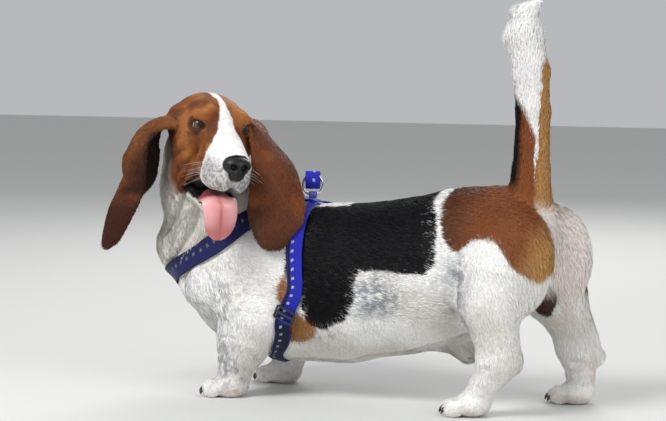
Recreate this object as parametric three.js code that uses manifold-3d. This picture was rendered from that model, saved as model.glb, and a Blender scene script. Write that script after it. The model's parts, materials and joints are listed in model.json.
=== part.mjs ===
// A basset hound standing with its head turned back over its left shoulder, mouth open, tongue out
// and tail up, in a webbing harness. Millimetres, +Z up, the nose end of the body towards -X and
// the hound's left side towards -Y. The flesh is one smooth field of tapered limbs and egg shapes,
// meshed region by region and parted by thin plane cuts. Ears, tongue and webbing are curved sheets.
import * as THREE from "three";
import { mergeVertices } from "three/addons/utils/BufferGeometryUtils.js";
import Module from "manifold-3d";

const wasm = await Module();
wasm.setup();

// Driving dimensions
const GAP = 0.3;
const TRUNK_SQUASH = 0.8;
const FOREARM_SQUASH = 0.82;
const TOE_SPREAD = 15;
const CLAW_LENGTH = 13;
const EYE_RADIUS = 11.5;
const LID_THICKNESS = 3;
const EAR_THICKNESS = 4.5;
const TONGUE_THICKNESS = 9;
const WEBBING_THICKNESS = 2.4;
const WEBBING_LIFT = 2.2;
const GIRTH_WIDTH = 28;
const NECK_WIDTH = 36;
const STERNUM_WIDTH = 20;
const RING_RADIUS = 17;
const RING_WIRE = 2;
const ORIGIN_SHIFT = [-38.5, 35, 0];
const HEAD_AT = [-186, -78, 455];
const HEAD_YAW = 43;
const HEAD_PITCH = 11;
const HEAD_ROLL = 6;

// Cell size of each region's mesh, and the triangles it keeps
const MESHES = {
  head: { low: [-310, -230, 290], high: [-40, 60, 520], cell: 3.4, keep: 4900 },
  neck: { low: [-345, -170, 200], high: [-20, 110, 476], cell: 6, keep: 1200 },
  torso: { low: [-330, -150, 34], high: [470, 150, 392], cell: 7, keep: 2800 },
  tail: { low: [285, -60, 350], high: [410, 60, 672], cell: 5, keep: 560 },
  frontLeg: { cell: 4.5, keep: 1050 },
  hindLeg: { cell: 5, keep: 1150 },
  nose: { cell: 2, keep: 420 },
};

// Small vector helpers on plain arrays
const add = (a, b, t = 1) => [a[0] + b[0] * t, a[1] + b[1] * t, a[2] + b[2] * t];
const sub = (a, b) => [a[0] - b[0], a[1] - b[1], a[2] - b[2]];
const scale = (a, t) => [a[0] * t, a[1] * t, a[2] * t];
const dot = (a, b) => a[0] * b[0] + a[1] * b[1] + a[2] * b[2];
const cross = (a, b) => [
  a[1] * b[2] - a[2] * b[1],
  a[2] * b[0] - a[0] * b[2],
  a[0] * b[1] - a[1] * b[0],
];
const length = (a) => Math.hypot(a[0], a[1], a[2]);
const unit = (a) => scale(a, 1 / length(a));
const mix = (a, b, t) => add(a, sub(b, a), t);
const radians = THREE.MathUtils.degToRad;
const UP = [0, 0, 1];
const WORLD_AXES = [[1, 0, 0], [0, 1, 0], UP];

// The head's own frame: f towards the nose, s towards the hound's left ear, u towards the crown
function headAxes() {
  const yaw = radians(HEAD_YAW);
  const pitch = radians(HEAD_PITCH);
  const roll = radians(HEAD_ROLL);
  const level = [Math.sin(yaw), -Math.cos(yaw), 0];
  const across = [Math.cos(yaw), Math.sin(yaw), 0];
  const raised = add(scale(UP, Math.cos(pitch)), level, Math.sin(pitch));
  return [
    add(scale(level, Math.cos(pitch)), UP, -Math.sin(pitch)),
    add(scale(across, Math.cos(roll)), raised, -Math.sin(roll)),
    add(scale(raised, Math.cos(roll)), across, Math.sin(roll)),
  ];
}
const HEAD_AXES = headAxes();
const headWay = ([f, s, u]) =>
  add(add(scale(HEAD_AXES[0], f), HEAD_AXES[1], s), HEAD_AXES[2], u);
const onHead = (at) => add(HEAD_AT, headWay(at));

// Signed distance to a tapered limb, round or squashed from side to side
function limbDistance(from, to, r1, r2, squash) {
  const k = 1 / squash;
  const ease = squash < 1 ? 0.5 + squash / 2 : 1;
  const d = [to[0] - from[0], (to[1] - from[1]) * k, to[2] - from[2]];
  const whole = dot(d, d);
  return (x, y, z) => {
    const px = x - from[0];
    const py = (y - from[1]) * k;
    const pz = z - from[2];
    const t = Math.min(1, Math.max(0, (px * d[0] + py * d[1] + pz * d[2]) / whole));
    const away = Math.hypot(px - d[0] * t, py - d[1] * t, pz - d[2] * t);
    return (away - r1 - (r2 - r1) * t) * ease;
  };
}

// Signed distance to an egg, near enough for blending
function eggDistance(at, radii, axes) {
  const rows = axes.map((axis, i) => scale(axis, 1 / radii[i]));
  return (x, y, z) => {
    const d = [x - at[0], y - at[1], z - at[2]];
    let a = 0;
    let b = 0;
    for (let i = 0; i < 3; i++) {
      const q = dot(d, rows[i]);
      a += q * q;
      b += (q * q) / (radii[i] * radii[i]);
    }
    a = Math.sqrt(a);
    return b < 1e-12 ? -Math.min(...radii) : (a * (a - 1)) / Math.sqrt(b);
  };
}

// Two shapes of flesh. blend is how softly each joins what is there; a hollow one cuts instead.
function limb(from, to, r1, r2, blend = 14, squash = 1) {
  const low = from.map((v, i) => Math.min(v - r1, to[i] - r2));
  const high = from.map((v, i) => Math.max(v + r1, to[i] + r2));
  return { low, high, blend, distance: limbDistance(from, to, r1, r2, squash) };
}
function egg(at, radii, blend = 14, axes = WORLD_AXES) {
  const reach = [0, 1, 2].map((i) => Math.hypot(...axes.map((axis, j) => axis[i] * radii[j])));
  return { low: sub(at, reach), high: add(at, reach), blend, distance: eggDistance(at, radii, axes) };
}
const headEgg = (at, radii, blend = 10) => egg(onHead(at), radii, blend, HEAD_AXES);
const headLimb = (from, to, r1, r2, blend = 10, squash = 1) =>
  limb(onHead(from), onHead(to), r1, r2, blend, squash);
const hollow = (shape) => ({ ...shape, hollow: true });
const chain = (stations, blend, squash = 1) =>
  stations.slice(1).map((end, i) => {
    const start = stations[i];
    return limb(start.slice(0, 3), end.slice(0, 3), start[3], end[3], blend, squash);
  });
const bothSides = (make) => [...make(-1), ...make(1)];

// Trunk: x, y, z of the middle, and the half height
const trunk = chain(
  [
    [-222, 0, 212, 69],
    [-150, 0, 194, 116],
    [-70, 0, 188, 126],
    [20, 0, 192, 128],
    [121, 0, 206, 122],
    [192, 0, 223, 117],
    [250, 0, 246, 110],
    [308, 0, 272, 92],
  ],
  24,
  TRUNK_SQUASH,
);

const neck = [
  ...chain(
    [
      [-100, 0, 246, 80],
      [-180, -10, 288, 84],
      [-219, -40, 345, 71],
      [-222, -52, 405, 62],
    ],
    30,
  ),
  limb([-238, -32, 290], [-250, -38, 250], 52, 58, 26),
];

const tail = chain(
  [
    [345, 0, 335, 42],
    [349, 0, 384, 30],
    [352, 0, 480, 26.5],
    [348, 0, 545, 28.5],
    [336, 0, 600, 31],
    [335, 0, 630, 22],
    [358, 0, 658, 7],
  ],
  8,
);

// A paw: four toes spread round a broad pad, and the middle of each toe
const toesOf = (at, side) =>
  [-1.5, -0.5, 0.5, 1.5].map((place) => {
    const reach = Math.abs(place) > 1 ? -24 : -33;
    return [at[0] + reach, at[1] + place * TOE_SPREAD + side * 3, 13.5];
  });
const paw = ({ at, side }) => [
  egg([at[0] - 2, at[1], 18], [32, 30, 21], 10),
  ...toesOf(at, side).map((toe) => egg(toe, [17, 9.5, 15], 5)),
];

const frontLegs = {
  left: { side: -1, shift: 0, at: [-152, -82, 0] },
  right: { side: 1, shift: 26, at: [-134, 82, 0] },
};
const frontLeg = ({ side, shift, at }) => {
  const shoulder = [-196, side * 62, 195];
  const elbow = [-106 + shift / 2, side * 82, 140];
  const forearm = [-128 + shift, side * 80, 96];
  const wrist = [-145 + shift, side * 78, 46];
  return [
    limb([-58, side * 52, 270], shoulder, 44, 48, 30),
    limb(shoulder, elbow, 48, 42, 26),
    limb(elbow, forearm, 44, 45, 16, FOREARM_SQUASH),
    limb(forearm, wrist, 45, 28, 16, FOREARM_SQUASH),
    limb(wrist, [wrist[0] - 4, wrist[1] + side * 3, 24], 28, 26, 10),
    ...paw({ at, side }),
  ];
};

const hindLegs = {
  left: { side: -1, hip: 326, stifle: 300, hock: 326, heel: [350, 90], at: [284, -88, 0] },
  right: { side: 1, hip: 357, stifle: 358, hock: 402, heel: [435, 82], at: [402, 88, 0] },
};
const hindLeg = ({ side, hip, stifle, hock, heel, at }) => [
  egg([hip + 6, side * 55, 246], [72, 48, 88], 30),
  limb([hip - 12, side * 70, 230], [stifle + 8, side * 82, 182], 60, 46, 26),
  limb([stifle + 8, side * 82, 182], [hock + 2, side * 86, 106], 45, 35, 20),
  limb([hock - 8, side * 86, 94], [heel[0], side * 86, heel[1]], 28, 16, 14),
  limb([hock + 4, side * 86, 88], [at[0] + 8, side * 87, 34], 29, 23, 14),
  ...paw({ at, side }),
];

const malenessAndBelly = [
  limb([176, 0, 116], [232, 0, 98], 22, 19, 16),
  limb([232, 0, 98], [240, 0, 88], 19, 17, 10),
  egg([374, -6, 186], [20, 19, 25], 10),
];

// Head, in its own frame
const EYE_AT = (side) => [42, side * 37, 10];
const GAZE = (side) => [Math.cos(radians(25)), side * Math.sin(radians(25)), 0];
const skull = [
  headEgg([-22, 0, 1], [72, 62, 49], 16),
  headEgg([-74, 0, 10], [26, 26, 26], 20),
  headEgg([24, 0, 13], [46, 52, 33], 16),
  ...bothSides((side) => [
    headEgg([4, side * 44, -24], [48, 24, 40], 16),
    headEgg([44, side * 33, 24], [17, 17, 10], 10),
    headEgg([-24, side * 56, 0], [30, 16, 24], 14),
  ]),
];
const muzzle = [
  headLimb([40, 0, -8], [138, 2, -27], 33, 25, 18),
  ...bothSides((side) => [
    headEgg([92, side * 21, -50], [58, 15, 34], 12),
    headEgg([130, 2 + side * 13, -50], [29, 17, 31], 10),
    headEgg([12, side * 42, -72], [42, 20, 44], 16),
  ]),
];
const jaw = [
  headLimb([0, 0, -82], [106, 0, -121], 34, 14, 14),
  ...bothSides((side) => [headLimb([24, side * 26, -100], [103, side * 17, -116], 17, 12, 8)]),
  headEgg([-10, 0, -82], [46, 46, 46], 24),
];
const lids = bothSides((side) => [
  egg(onHead(EYE_AT(side)), [1, 1, 1].map(() => EYE_RADIUS + LID_THICKNESS), 6),
]);

// The open mouth is a thin lens between the lips, with the palate arched over the tongue
const MOUTH_TILT = radians(4);
const MOUTH_MIDDLE = [112, 0, -94];
const MOUTH_AXES = [
  headWay([Math.cos(MOUTH_TILT), 0, -Math.sin(MOUTH_TILT)]),
  HEAD_AXES[1],
  headWay([Math.sin(MOUTH_TILT), 0, Math.cos(MOUTH_TILT)]),
];
const mouth = [
  hollow(egg(onHead(MOUTH_MIDDLE), [88, 62, 11.5], 4, MOUTH_AXES)),
  hollow(headLimb([62, 0, -84], [128, 0, -86], 13, 17, 8)),
];

const body = [
  ...trunk,
  ...neck,
  ...frontLeg(frontLegs.left),
  ...frontLeg(frontLegs.right),
  ...hindLeg(hindLegs.left),
  ...hindLeg(hindLegs.right),
  ...malenessAndBelly,
];
const flesh = [...body, ...tail, ...skull, ...muzzle, ...jaw, ...lids, ...mouth];

// Smooth least of two distances, and the field of many shapes
function smoothMin(a, b, k) {
  const h = Math.max(k - Math.abs(a - b), 0) / k;
  return Math.min(a, b) - (h * h * k) / 4;
}
const joined = (d, shape, value) =>
  shape.hollow ? -smoothMin(-d, value, shape.blend) : smoothMin(d, value, shape.blend);
const FAR = 1e3;
const MARGIN = 4;
const near = (shape, p) =>
  p.every((v, i) => {
    const reach = shape.blend + MARGIN;
    return v > shape.low[i] - reach && v < shape.high[i] + reach;
  });

export function fieldOf(shapes) {
  return (p) => {
    let d = FAR;
    for (const shape of shapes) {
      if (near(shape, p)) d = joined(d, shape, shape.distance(p[0], p[1], p[2]));
    }
    return d;
  };
}

// Way to the outside at a point, as long as the field's slope there
function slopeAt(field, p) {
  const step = 0.5;
  return WORLD_AXES.map((axis) => (field(add(p, axis, step)) - field(add(p, axis, -step))) / (2 * step));
}

// Moves a point along the slope until the field there is the wanted height
function settle(field, start, height = 0, most = 4, rounds = 3) {
  let p = start;
  for (let round = 0; round < rounds; round++) {
    const g = slopeAt(field, p);
    const steep = length(g);
    if (steep < 0.2) return p;
    const move = THREE.MathUtils.clamp((height - field(p)) / steep, -most, most);
    p = add(p, g, move / steep);
  }
  return p;
}

// Field values on a grid. Each shape is laid only on the cells that it can change.
function sampled(shapes, low, high, cell) {
  const n = [0, 1, 2].map((i) => Math.ceil((high[i] - low[i]) / cell) + 1);
  const values = new Float32Array(n[0] * n[1] * n[2]).fill(FAR);
  for (const shape of shapes) {
    const reach = shape.blend + 2 * cell;
    const first = shape.low.map((v, i) => Math.max(0, Math.floor((v - reach - low[i]) / cell)));
    const last = shape.high.map((v, i) => Math.min(n[i] - 1, Math.ceil((v + reach - low[i]) / cell)));
    for (let k = first[2]; k <= last[2]; k++)
      for (let j = first[1]; j <= last[1]; j++) {
        const row = n[0] * (j + n[1] * k);
        for (let i = first[0]; i <= last[0]; i++) {
          const value = shape.distance(low[0] + i * cell, low[1] + j * cell, low[2] + k * cell);
          values[row + i] = joined(values[row + i], shape, value);
        }
      }
  }
  return { n, values };
}

const CORNERS = [0, 1, 2, 3, 4, 5, 6, 7].map((c) => [c & 1, (c >> 1) & 1, (c >> 2) & 1]);
const CELL_EDGES = [
  [0, 1], [2, 3], [4, 5], [6, 7],
  [0, 2], [1, 3], [4, 6], [5, 7],
  [0, 4], [1, 5], [2, 6], [3, 7],
];

const CELL_FACES = [[0, 1, 3, 2], [4, 5, 7, 6], [0, 1, 5, 4], [2, 3, 7, 6], [0, 2, 6, 4], [1, 3, 7, 5]];

// Fills the corners where flesh would touch itself only along an edge or at a point
function fillPinches(values, n, steps, cell) {
  const fill = -cell / 20;
  for (let found = true; found; ) {
    found = false;
    for (let base = 0; base < values.length - steps[7]; base++) {
      const first = values[base] < 0;
      if (steps.every((step) => values[base + step] < 0 === first)) continue;
      for (const [a, b, c, d] of CELL_FACES) {
        const [ia, ib, ic, id] = [a, b, c, d].map((q) => values[base + steps[q]] < 0);
        if (ia !== ic || ib !== id || ia === ib) continue;
        values[base + steps[ia ? b : a]] = fill;
        found = true;
      }
      const inside = steps.map((step) => values[base + step] < 0);
      for (let c = 0; c < 4; c++) {
        const lone = inside[c] === inside[7 - c] && inside.every((v, i) => i === c || i === 7 - c || v !== inside[c]);
        if (!lone) continue;
        values[base + steps[inside[c] ? (c + 1) % 4 : c]] = fill;
        found = true;
      }
    }
  }
}

// The surface of a field inside a box, one vertex in each cell that the surface crosses
function surfaceNet(shapes, low, high, cell) {
  const { n, values } = sampled(shapes, low, high, cell);
  const at = (i, j, k) => i + n[0] * (j + n[1] * k);
  const rimAt = (i, size) => i === 0 || i === size - 1;
  for (let k = 0; k < n[2]; k++)
    for (let j = 0; j < n[1]; j++)
      for (let i = 0; i < n[0]; i++)
        if (rimAt(i, n[0]) || rimAt(j, n[1]) || rimAt(k, n[2]))
          values[at(i, j, k)] = Math.max(values[at(i, j, k)], cell / 2);
  const steps = CORNERS.map((c) => at(...c));
  fillPinches(values, n, steps, cell);
  const vertexOf = new Int32Array(values.length).fill(-1);
  const positions = [];
  for (let k = 0; k < n[2] - 1; k++)
    for (let j = 0; j < n[1] - 1; j++)
      for (let i = 0; i < n[0] - 1; i++) {
        const base = at(i, j, k);
        let inside = 0;
        for (let c = 0; c < 8; c++) if (values[base + steps[c]] < 0) inside++;
        if (inside === 0 || inside === 8) continue;
        let count = 0;
        let sum = [0, 0, 0];
        for (const [a, b] of CELL_EDGES) {
          const va = values[base + steps[a]];
          const vb = values[base + steps[b]];
          if (va < 0 === vb < 0) continue;
          sum = add(sum, mix(CORNERS[a], CORNERS[b], va / (va - vb)));
          count++;
        }
        vertexOf[base] = positions.length;
        positions.push(add(low, add([i, j, k], sum, 1 / count), cell));
      }
  const triangles = [];
  const quad = (a, b, c, d, flip) => {
    if (Math.min(a, b, c, d) < 0) return;
    const [p, q] = flip ? [d, b] : [b, d];
    const straight = length(sub(positions[a], positions[c])) < length(sub(positions[p], positions[q]));
    if (straight) triangles.push([a, p, c], [a, c, q]);
    else triangles.push([a, p, q], [p, c, q]);
  };
  for (let k = 0; k < n[2] - 1; k++)
    for (let j = 0; j < n[1] - 1; j++)
      for (let i = 0; i < n[0] - 1; i++) {
        const here = values[at(i, j, k)] < 0;
        const cellAt = (x, y, z) => vertexOf[at(x, y, z)];
        const middle = cellAt(i, j, k);
        if (j > 0 && k > 0 && here !== values[at(i + 1, j, k)] < 0)
          quad(cellAt(i, j - 1, k - 1), cellAt(i, j, k - 1), middle, cellAt(i, j - 1, k), !here);
        if (i > 0 && k > 0 && here !== values[at(i, j + 1, k)] < 0)
          quad(cellAt(i - 1, j, k - 1), cellAt(i - 1, j, k), middle, cellAt(i, j, k - 1), !here);
        if (i > 0 && j > 0 && here !== values[at(i, j, k + 1)] < 0)
          quad(cellAt(i - 1, j - 1, k), cellAt(i, j - 1, k), middle, cellAt(i - 1, j, k), !here);
      }
  const field = fieldOf(shapes);
  const onRim = (p) => p.some((v, i) => v < low[i] + cell * 1.5 || v > high[i] - cell * 1.5);
  const settled = positions.map((p) => (onRim(p) ? p : settle(field, p, 0, cell / 3, 2)));
  return { positions: settled, triangles };
}

// Squared distance to a set of planes, as the ten numbers of its quadratic form
function planeForm(a, b, c) {
  const n = cross(sub(b, a), sub(c, a));
  const area = length(n) || 1e-9;
  const [x, y, z] = scale(n, 1 / area);
  const d = -(x * a[0] + y * a[1] + z * a[2]);
  return [x * x, x * y, x * z, x * d, y * y, y * z, y * d, z * z, z * d, d * d].map((v) => v * area);
}
const formAt = (q, [x, y, z]) =>
  q[0] * x * x + 2 * q[1] * x * y + 2 * q[2] * x * z + 2 * q[3] * x + q[4] * y * y +
  2 * q[5] * y * z + 2 * q[6] * y + q[7] * z * z + 2 * q[8] * z + q[9];

// The point of least error for an edge, held a little towards the edge's middle
const HOLD = 0.02;
function bestPoint(q, middle) {
  const hold = HOLD * (q[0] + q[4] + q[7]) + 1e-9;
  const rows = [[q[0] + hold, q[1], q[2]], [q[1], q[4] + hold, q[5]], [q[2], q[5], q[7] + hold]];
  const right = [hold * middle[0] - q[3], hold * middle[1] - q[6], hold * middle[2] - q[8]];
  const size = dot(rows[0], cross(rows[1], rows[2]));
  return [
    dot(right, cross(rows[1], rows[2])) / size,
    dot(right, cross(rows[2], rows[0])) / size,
    dot(right, cross(rows[0], rows[1])) / size,
  ];
}

// Edges shrink to points, cheapest first, until few enough triangles are left
const SHARE_EACH_PASS = 0.3;
const LEAST_TURN = 0.3;
function simplified({ positions, triangles }, keep) {
  const points = positions.slice();
  const forms = points.map(() => new Float64Array(10));
  for (const face of triangles) {
    const form = planeForm(...face.map((v) => points[v]));
    for (const v of face) form.forEach((value, i) => (forms[v][i] += value));
  }
  let faces = triangles.map((face) => [...face]);
  const keepsSide = (face, moved, to) => {
    const before = face.map((v) => points[v]);
    const after = face.map((v) => (v === moved ? to : points[v]));
    const n1 = cross(sub(before[1], before[0]), sub(before[2], before[0]));
    const n2 = cross(sub(after[1], after[0]), sub(after[2], after[0]));
    const longest = Math.max(...[0, 1, 2].map((i) => length(sub(after[i], after[(i + 1) % 3]))));
    return dot(n1, n2) > LEAST_TURN * length(n1) * length(n2) && length(n2) > 0.06 * longest * longest;
  };
  for (let removed = 1; removed > 0 && faces.length > keep; ) {
    const around = points.map(() => []);
    for (const face of faces) for (const v of face) around[v].push(face);
    const edges = [];
    for (const face of faces)
      for (let i = 0; i < 3; i++) {
        const a = face[i];
        const b = face[(i + 1) % 3];
        if (a > b) continue;
        const form = forms[a].map((value, q) => value + forms[b][q]);
        const middle = mix(points[a], points[b], 0.5);
        const to = bestPoint(form, middle);
        const apart = sub(points[a], points[b]);
        edges.push({ a, b, to, form, cost: formAt(form, to) + 1e-3 * dot(apart, apart) });
      }
    edges.sort((l, r) => l.cost - r.cost);
    const most = edges[Math.floor(edges.length * SHARE_EACH_PASS)].cost;
    const busy = new Uint8Array(points.length);
    removed = 0;
    for (const { a, b, to, form, cost } of edges) {
      if (faces.length - removed <= keep || cost > most) break;
      if (busy[a] || busy[b]) continue;
      const ringA = new Set(around[a].flat());
      const ringB = new Set(around[b].flat());
      const shared = [...ringA].filter((v) => v !== a && v !== b && ringB.has(v));
      if (shared.length !== 2) continue;
      const stayA = around[a].filter((face) => !face.includes(b));
      const stayB = around[b].filter((face) => !face.includes(a));
      if (!stayA.every((face) => keepsSide(face, a, to))) continue;
      if (!stayB.every((face) => keepsSide(face, b, to))) continue;
      points[a] = to;
      forms[a] = form;
      for (const face of around[b]) {
        if (face.includes(a)) face.gone = true;
        else face[face.indexOf(b)] = a;
      }
      for (const v of [...ringA, ...ringB]) busy[v] = 1;
      removed += 2;
    }
    faces = faces.filter((face) => !face.gone);
  }
  const used = [...new Set(faces.flat())];
  const place = new Map(used.map((v, i) => [v, i]));
  return {
    positions: used.map((v) => points[v]),
    triangles: faces.map((face) => face.map((v) => place.get(v))),
  };
}

// Solids
const solidOf = ({ positions, triangles }) =>
  new wasm.Manifold(
    new wasm.Mesh({
      numProp: 3,
      vertProperties: Float32Array.from(positions.flat()),
      triVerts: Uint32Array.from(triangles.flat()),
    }),
  );

function facingOut({ positions, triangles }) {
  const solid = solidOf({ positions, triangles });
  if (solid.volume() > 0) return solid;
  return solidOf({ positions, triangles: triangles.map(([a, b, c]) => [a, c, b]) });
}

function solidFrom(geometry) {
  const bare = geometry.clone();
  bare.deleteAttribute("normal");
  bare.deleteAttribute("uv");
  const merged = mergeVertices(bare, 1e-3);
  return new wasm.Manifold(
    new wasm.Mesh({
      numProp: 3,
      vertProperties: merged.attributes.position.array,
      triVerts: new Uint32Array(merged.index.array),
    }),
  );
}

function geometryOf(solid) {
  const mesh = solid.getMesh();
  const positions = [];
  for (let i = 0; i < mesh.numVert; i++)
    positions.push(...mesh.vertProperties.subarray(i * mesh.numProp, i * mesh.numProp + 3));
  const geometry = new THREE.BufferGeometry();
  geometry.setAttribute("position", new THREE.Float32BufferAttribute(positions, 3));
  geometry.setIndex([...mesh.triVerts]);
  geometry.computeVertexNormals();
  return geometry;
}

const largest = (solid) =>
  solid.decompose().reduce((best, piece) => (piece.volume() > best.volume() ? piece : best));

// A region bounded by planes, each a point and the way in. More than 0 grows it, less shrinks it.
const WIDE = 1600;
function region(planes, grow = 0) {
  let solid = null;
  for (const [point, way] of planes) {
    const inward = unit(way);
    const box = new THREE.BoxGeometry(WIDE, WIDE, WIDE);
    box.translate(0, 0, WIDE / 2);
    const turn = new THREE.Quaternion().setFromUnitVectors(
      new THREE.Vector3(0, 0, 1),
      new THREE.Vector3(...inward),
    );
    box.applyQuaternion(turn);
    box.translate(...add(point, inward, -grow));
    const half = solidFrom(box);
    solid = solid ? solid.intersect(half) : half;
  }
  return solid;
}

// A copy of a solid with its surface moved out, used to cut room round it
function grown(solid, by) {
  const geometry = mergeVertices(geometryOf(solid), 1e-3);
  geometry.computeVertexNormals();
  const { position, normal } = geometry.attributes;
  for (let i = 0; i < position.count; i++)
    position.setXYZ(
      i,
      position.getX(i) + normal.getX(i) * by,
      position.getY(i) + normal.getY(i) * by,
      position.getZ(i) + normal.getZ(i) * by,
    );
  return solidFrom(geometry);
}

// Where the body parts
const onHeadPlane = (at, way) => [onHead(at), headWay(way)];
const HEAD_CUTS = [
  onHeadPlane([-80, 0, -34], [1, 0, 1]),
  onHeadPlane([50, 0, -143], [0, 0, 1]),
  onHeadPlane([0, 60, -118], [0, -0.9, 0.43]),
  ...bothSides((side) => [onHeadPlane([0, side * 78, 0], [0, -side, 0])]),
];
const NECK_CUT = [[-170, 0, 268], [-0.48, 0, 0.877]];
const TAIL_CUT = [[350, 0, 368], UP];
const AHEAD_OF_HIPS = [[150, 0, 0], [-1, 0, 0]];
const BEHIND_HIPS = [[285, 0, 0], [1, 0, 0]];
const JAW_CUTS = [
  onHeadPlane(MOUTH_MIDDLE, [-Math.sin(MOUTH_TILT), 0, -Math.cos(MOUTH_TILT)]),
  onHeadPlane([30, 0, -88], [0.87, 0, -0.5]),
];
const frontLegCuts = ({ side, shift }) => [
  [[0, side * 47, 75], [0, side * 0.811, -0.586]],
  [[-62 + shift / 2, 0, 140], [-1, 0, -0.12]],
  [[-250, 0, 0], [1, 0, 0]],
  [[0, 0, 182], [0, 0, -1]],
  [[0, side * 2, 0], [0, side, 0]],
];
const hindLegCuts = ({ side, hip }) => [
  [[0, side * 40, 120], [0, side * 0.956, -0.292]],
  [[hip - 66, 0, 246], [1, 0, -0.2]],
  [[0, 0, 330], [0, 0, -1]],
];
const FLOOR = [[0, 0, 0], UP];

function fleshIn({ low, high, cell, keep }) {
  return solidOf(simplified(surfaceNet(flesh, low, high, cell), keep));
}

// Legs, each trimmed flat where it stands on the floor, with a claw on every toe
function claws({ at, side }, floorClear) {
  return toesOf(at, side).map((toe) => {
    const cone = new THREE.ConeGeometry(3.4, CLAW_LENGTH, 6);
    cone.rotateZ(radians(118));
    cone.translate(toe[0] - 17, toe[1], floorClear);
    return solidFrom(cone);
  });
}
function legSolid(leg, cuts, { cell, keep }, box) {
  const whole = fleshIn({ ...box, cell, keep });
  let solid = whole.intersect(region(cuts, -GAP / 2)).intersect(region([FLOOR]));
  for (const claw of claws(leg, 10)) solid = solid.add(claw);
  return largest(solid);
}
const legBox = (x, width, top, side) => ({
  low: [x, side < 0 ? -150 : -10, -12],
  high: [x + width, side < 0 ? 10 : 150, top],
});
const frontLegSolid = (leg) =>
  legSolid(leg, frontLegCuts(leg), MESHES.frontLeg, legBox(-262 + leg.shift / 2, 230, 200, leg.side));
const hindLegSolid = (leg) =>
  legSolid(leg, hindLegCuts(leg), MESHES.hindLeg, legBox(leg.hip - 90, 190, 345, leg.side));

// Ball shapes for the eyes
function ballSolid(at, radii, turn = new THREE.Matrix4()) {
  const ball = new THREE.SphereGeometry(1, 16, 10);
  ball.scale(...radii);
  ball.applyMatrix4(turn);
  ball.translate(...at);
  return solidFrom(ball);
}
function alongGaze(side) {
  const gaze = headWay(GAZE(side));
  const up = HEAD_AXES[2];
  const across = unit(cross(up, gaze));
  return new THREE.Matrix4().makeBasis(
    new THREE.Vector3(...gaze),
    new THREE.Vector3(...across),
    new THREE.Vector3(...cross(gaze, across)),
  );
}
const eyeSolid = (side, extra = 0) =>
  ballSolid(onHead(EYE_AT(side)), [1, 1, 1].map(() => EYE_RADIUS + extra));
function lidOpening(side) {
  const ahead = headWay(GAZE(side));
  return ballSolid(add(onHead(EYE_AT(side)), ahead, 14), [13, 13, 7.6], alongGaze(side));
}

// Nose leather, with its two comma shaped nostrils
const noseForm = (extra) => [
  headEgg([154, 3, -28], [16 + extra, 23 + extra, 15 + extra], 8),
  headEgg([156, 3, -42], [12 + extra, 12 + extra, 13 + extra], 10),
];
const nostrils = bothSides((side) => [
  hollow(headEgg([170, 3 + side * 9, -31], [9, 5, 5.5], 2)),
  hollow(headLimb([168, 3 + side * 12, -34], [160, 3 + side * 22, -38], 3, 2, 2)),
]);
function noseSolid(shapes) {
  const middle = onHead([154, 3, -32]);
  const reach = [38, 38, 38];
  const { cell, keep } = MESHES.nose;
  return solidOf(simplified(surfaceNet(shapes, sub(middle, reach), add(middle, reach), cell), keep));
}

// A thin curved sheet. Each station: the middle, half the width, the way across and the bow.
function curveThrough(rows, steps) {
  const size = rows[0].length;
  const at = (i) => rows[THREE.MathUtils.clamp(i, 0, rows.length - 1)];
  return Array.from({ length: steps + 1 }, (_, step) => {
    const t = (step / steps) * (rows.length - 1);
    const i = Math.min(rows.length - 2, Math.floor(t));
    const h = t - i;
    return Array.from({ length: size }, (__, q) => {
      const [a, b, c, d] = [at(i - 1)[q], at(i)[q], at(i + 1)[q], at(i + 2)[q]];
      return b + 0.5 * h * (c - a + h * (2 * a - 5 * b + 4 * c - d + h * (3 * (b - c) + d - a)));
    });
  });
}

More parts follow.
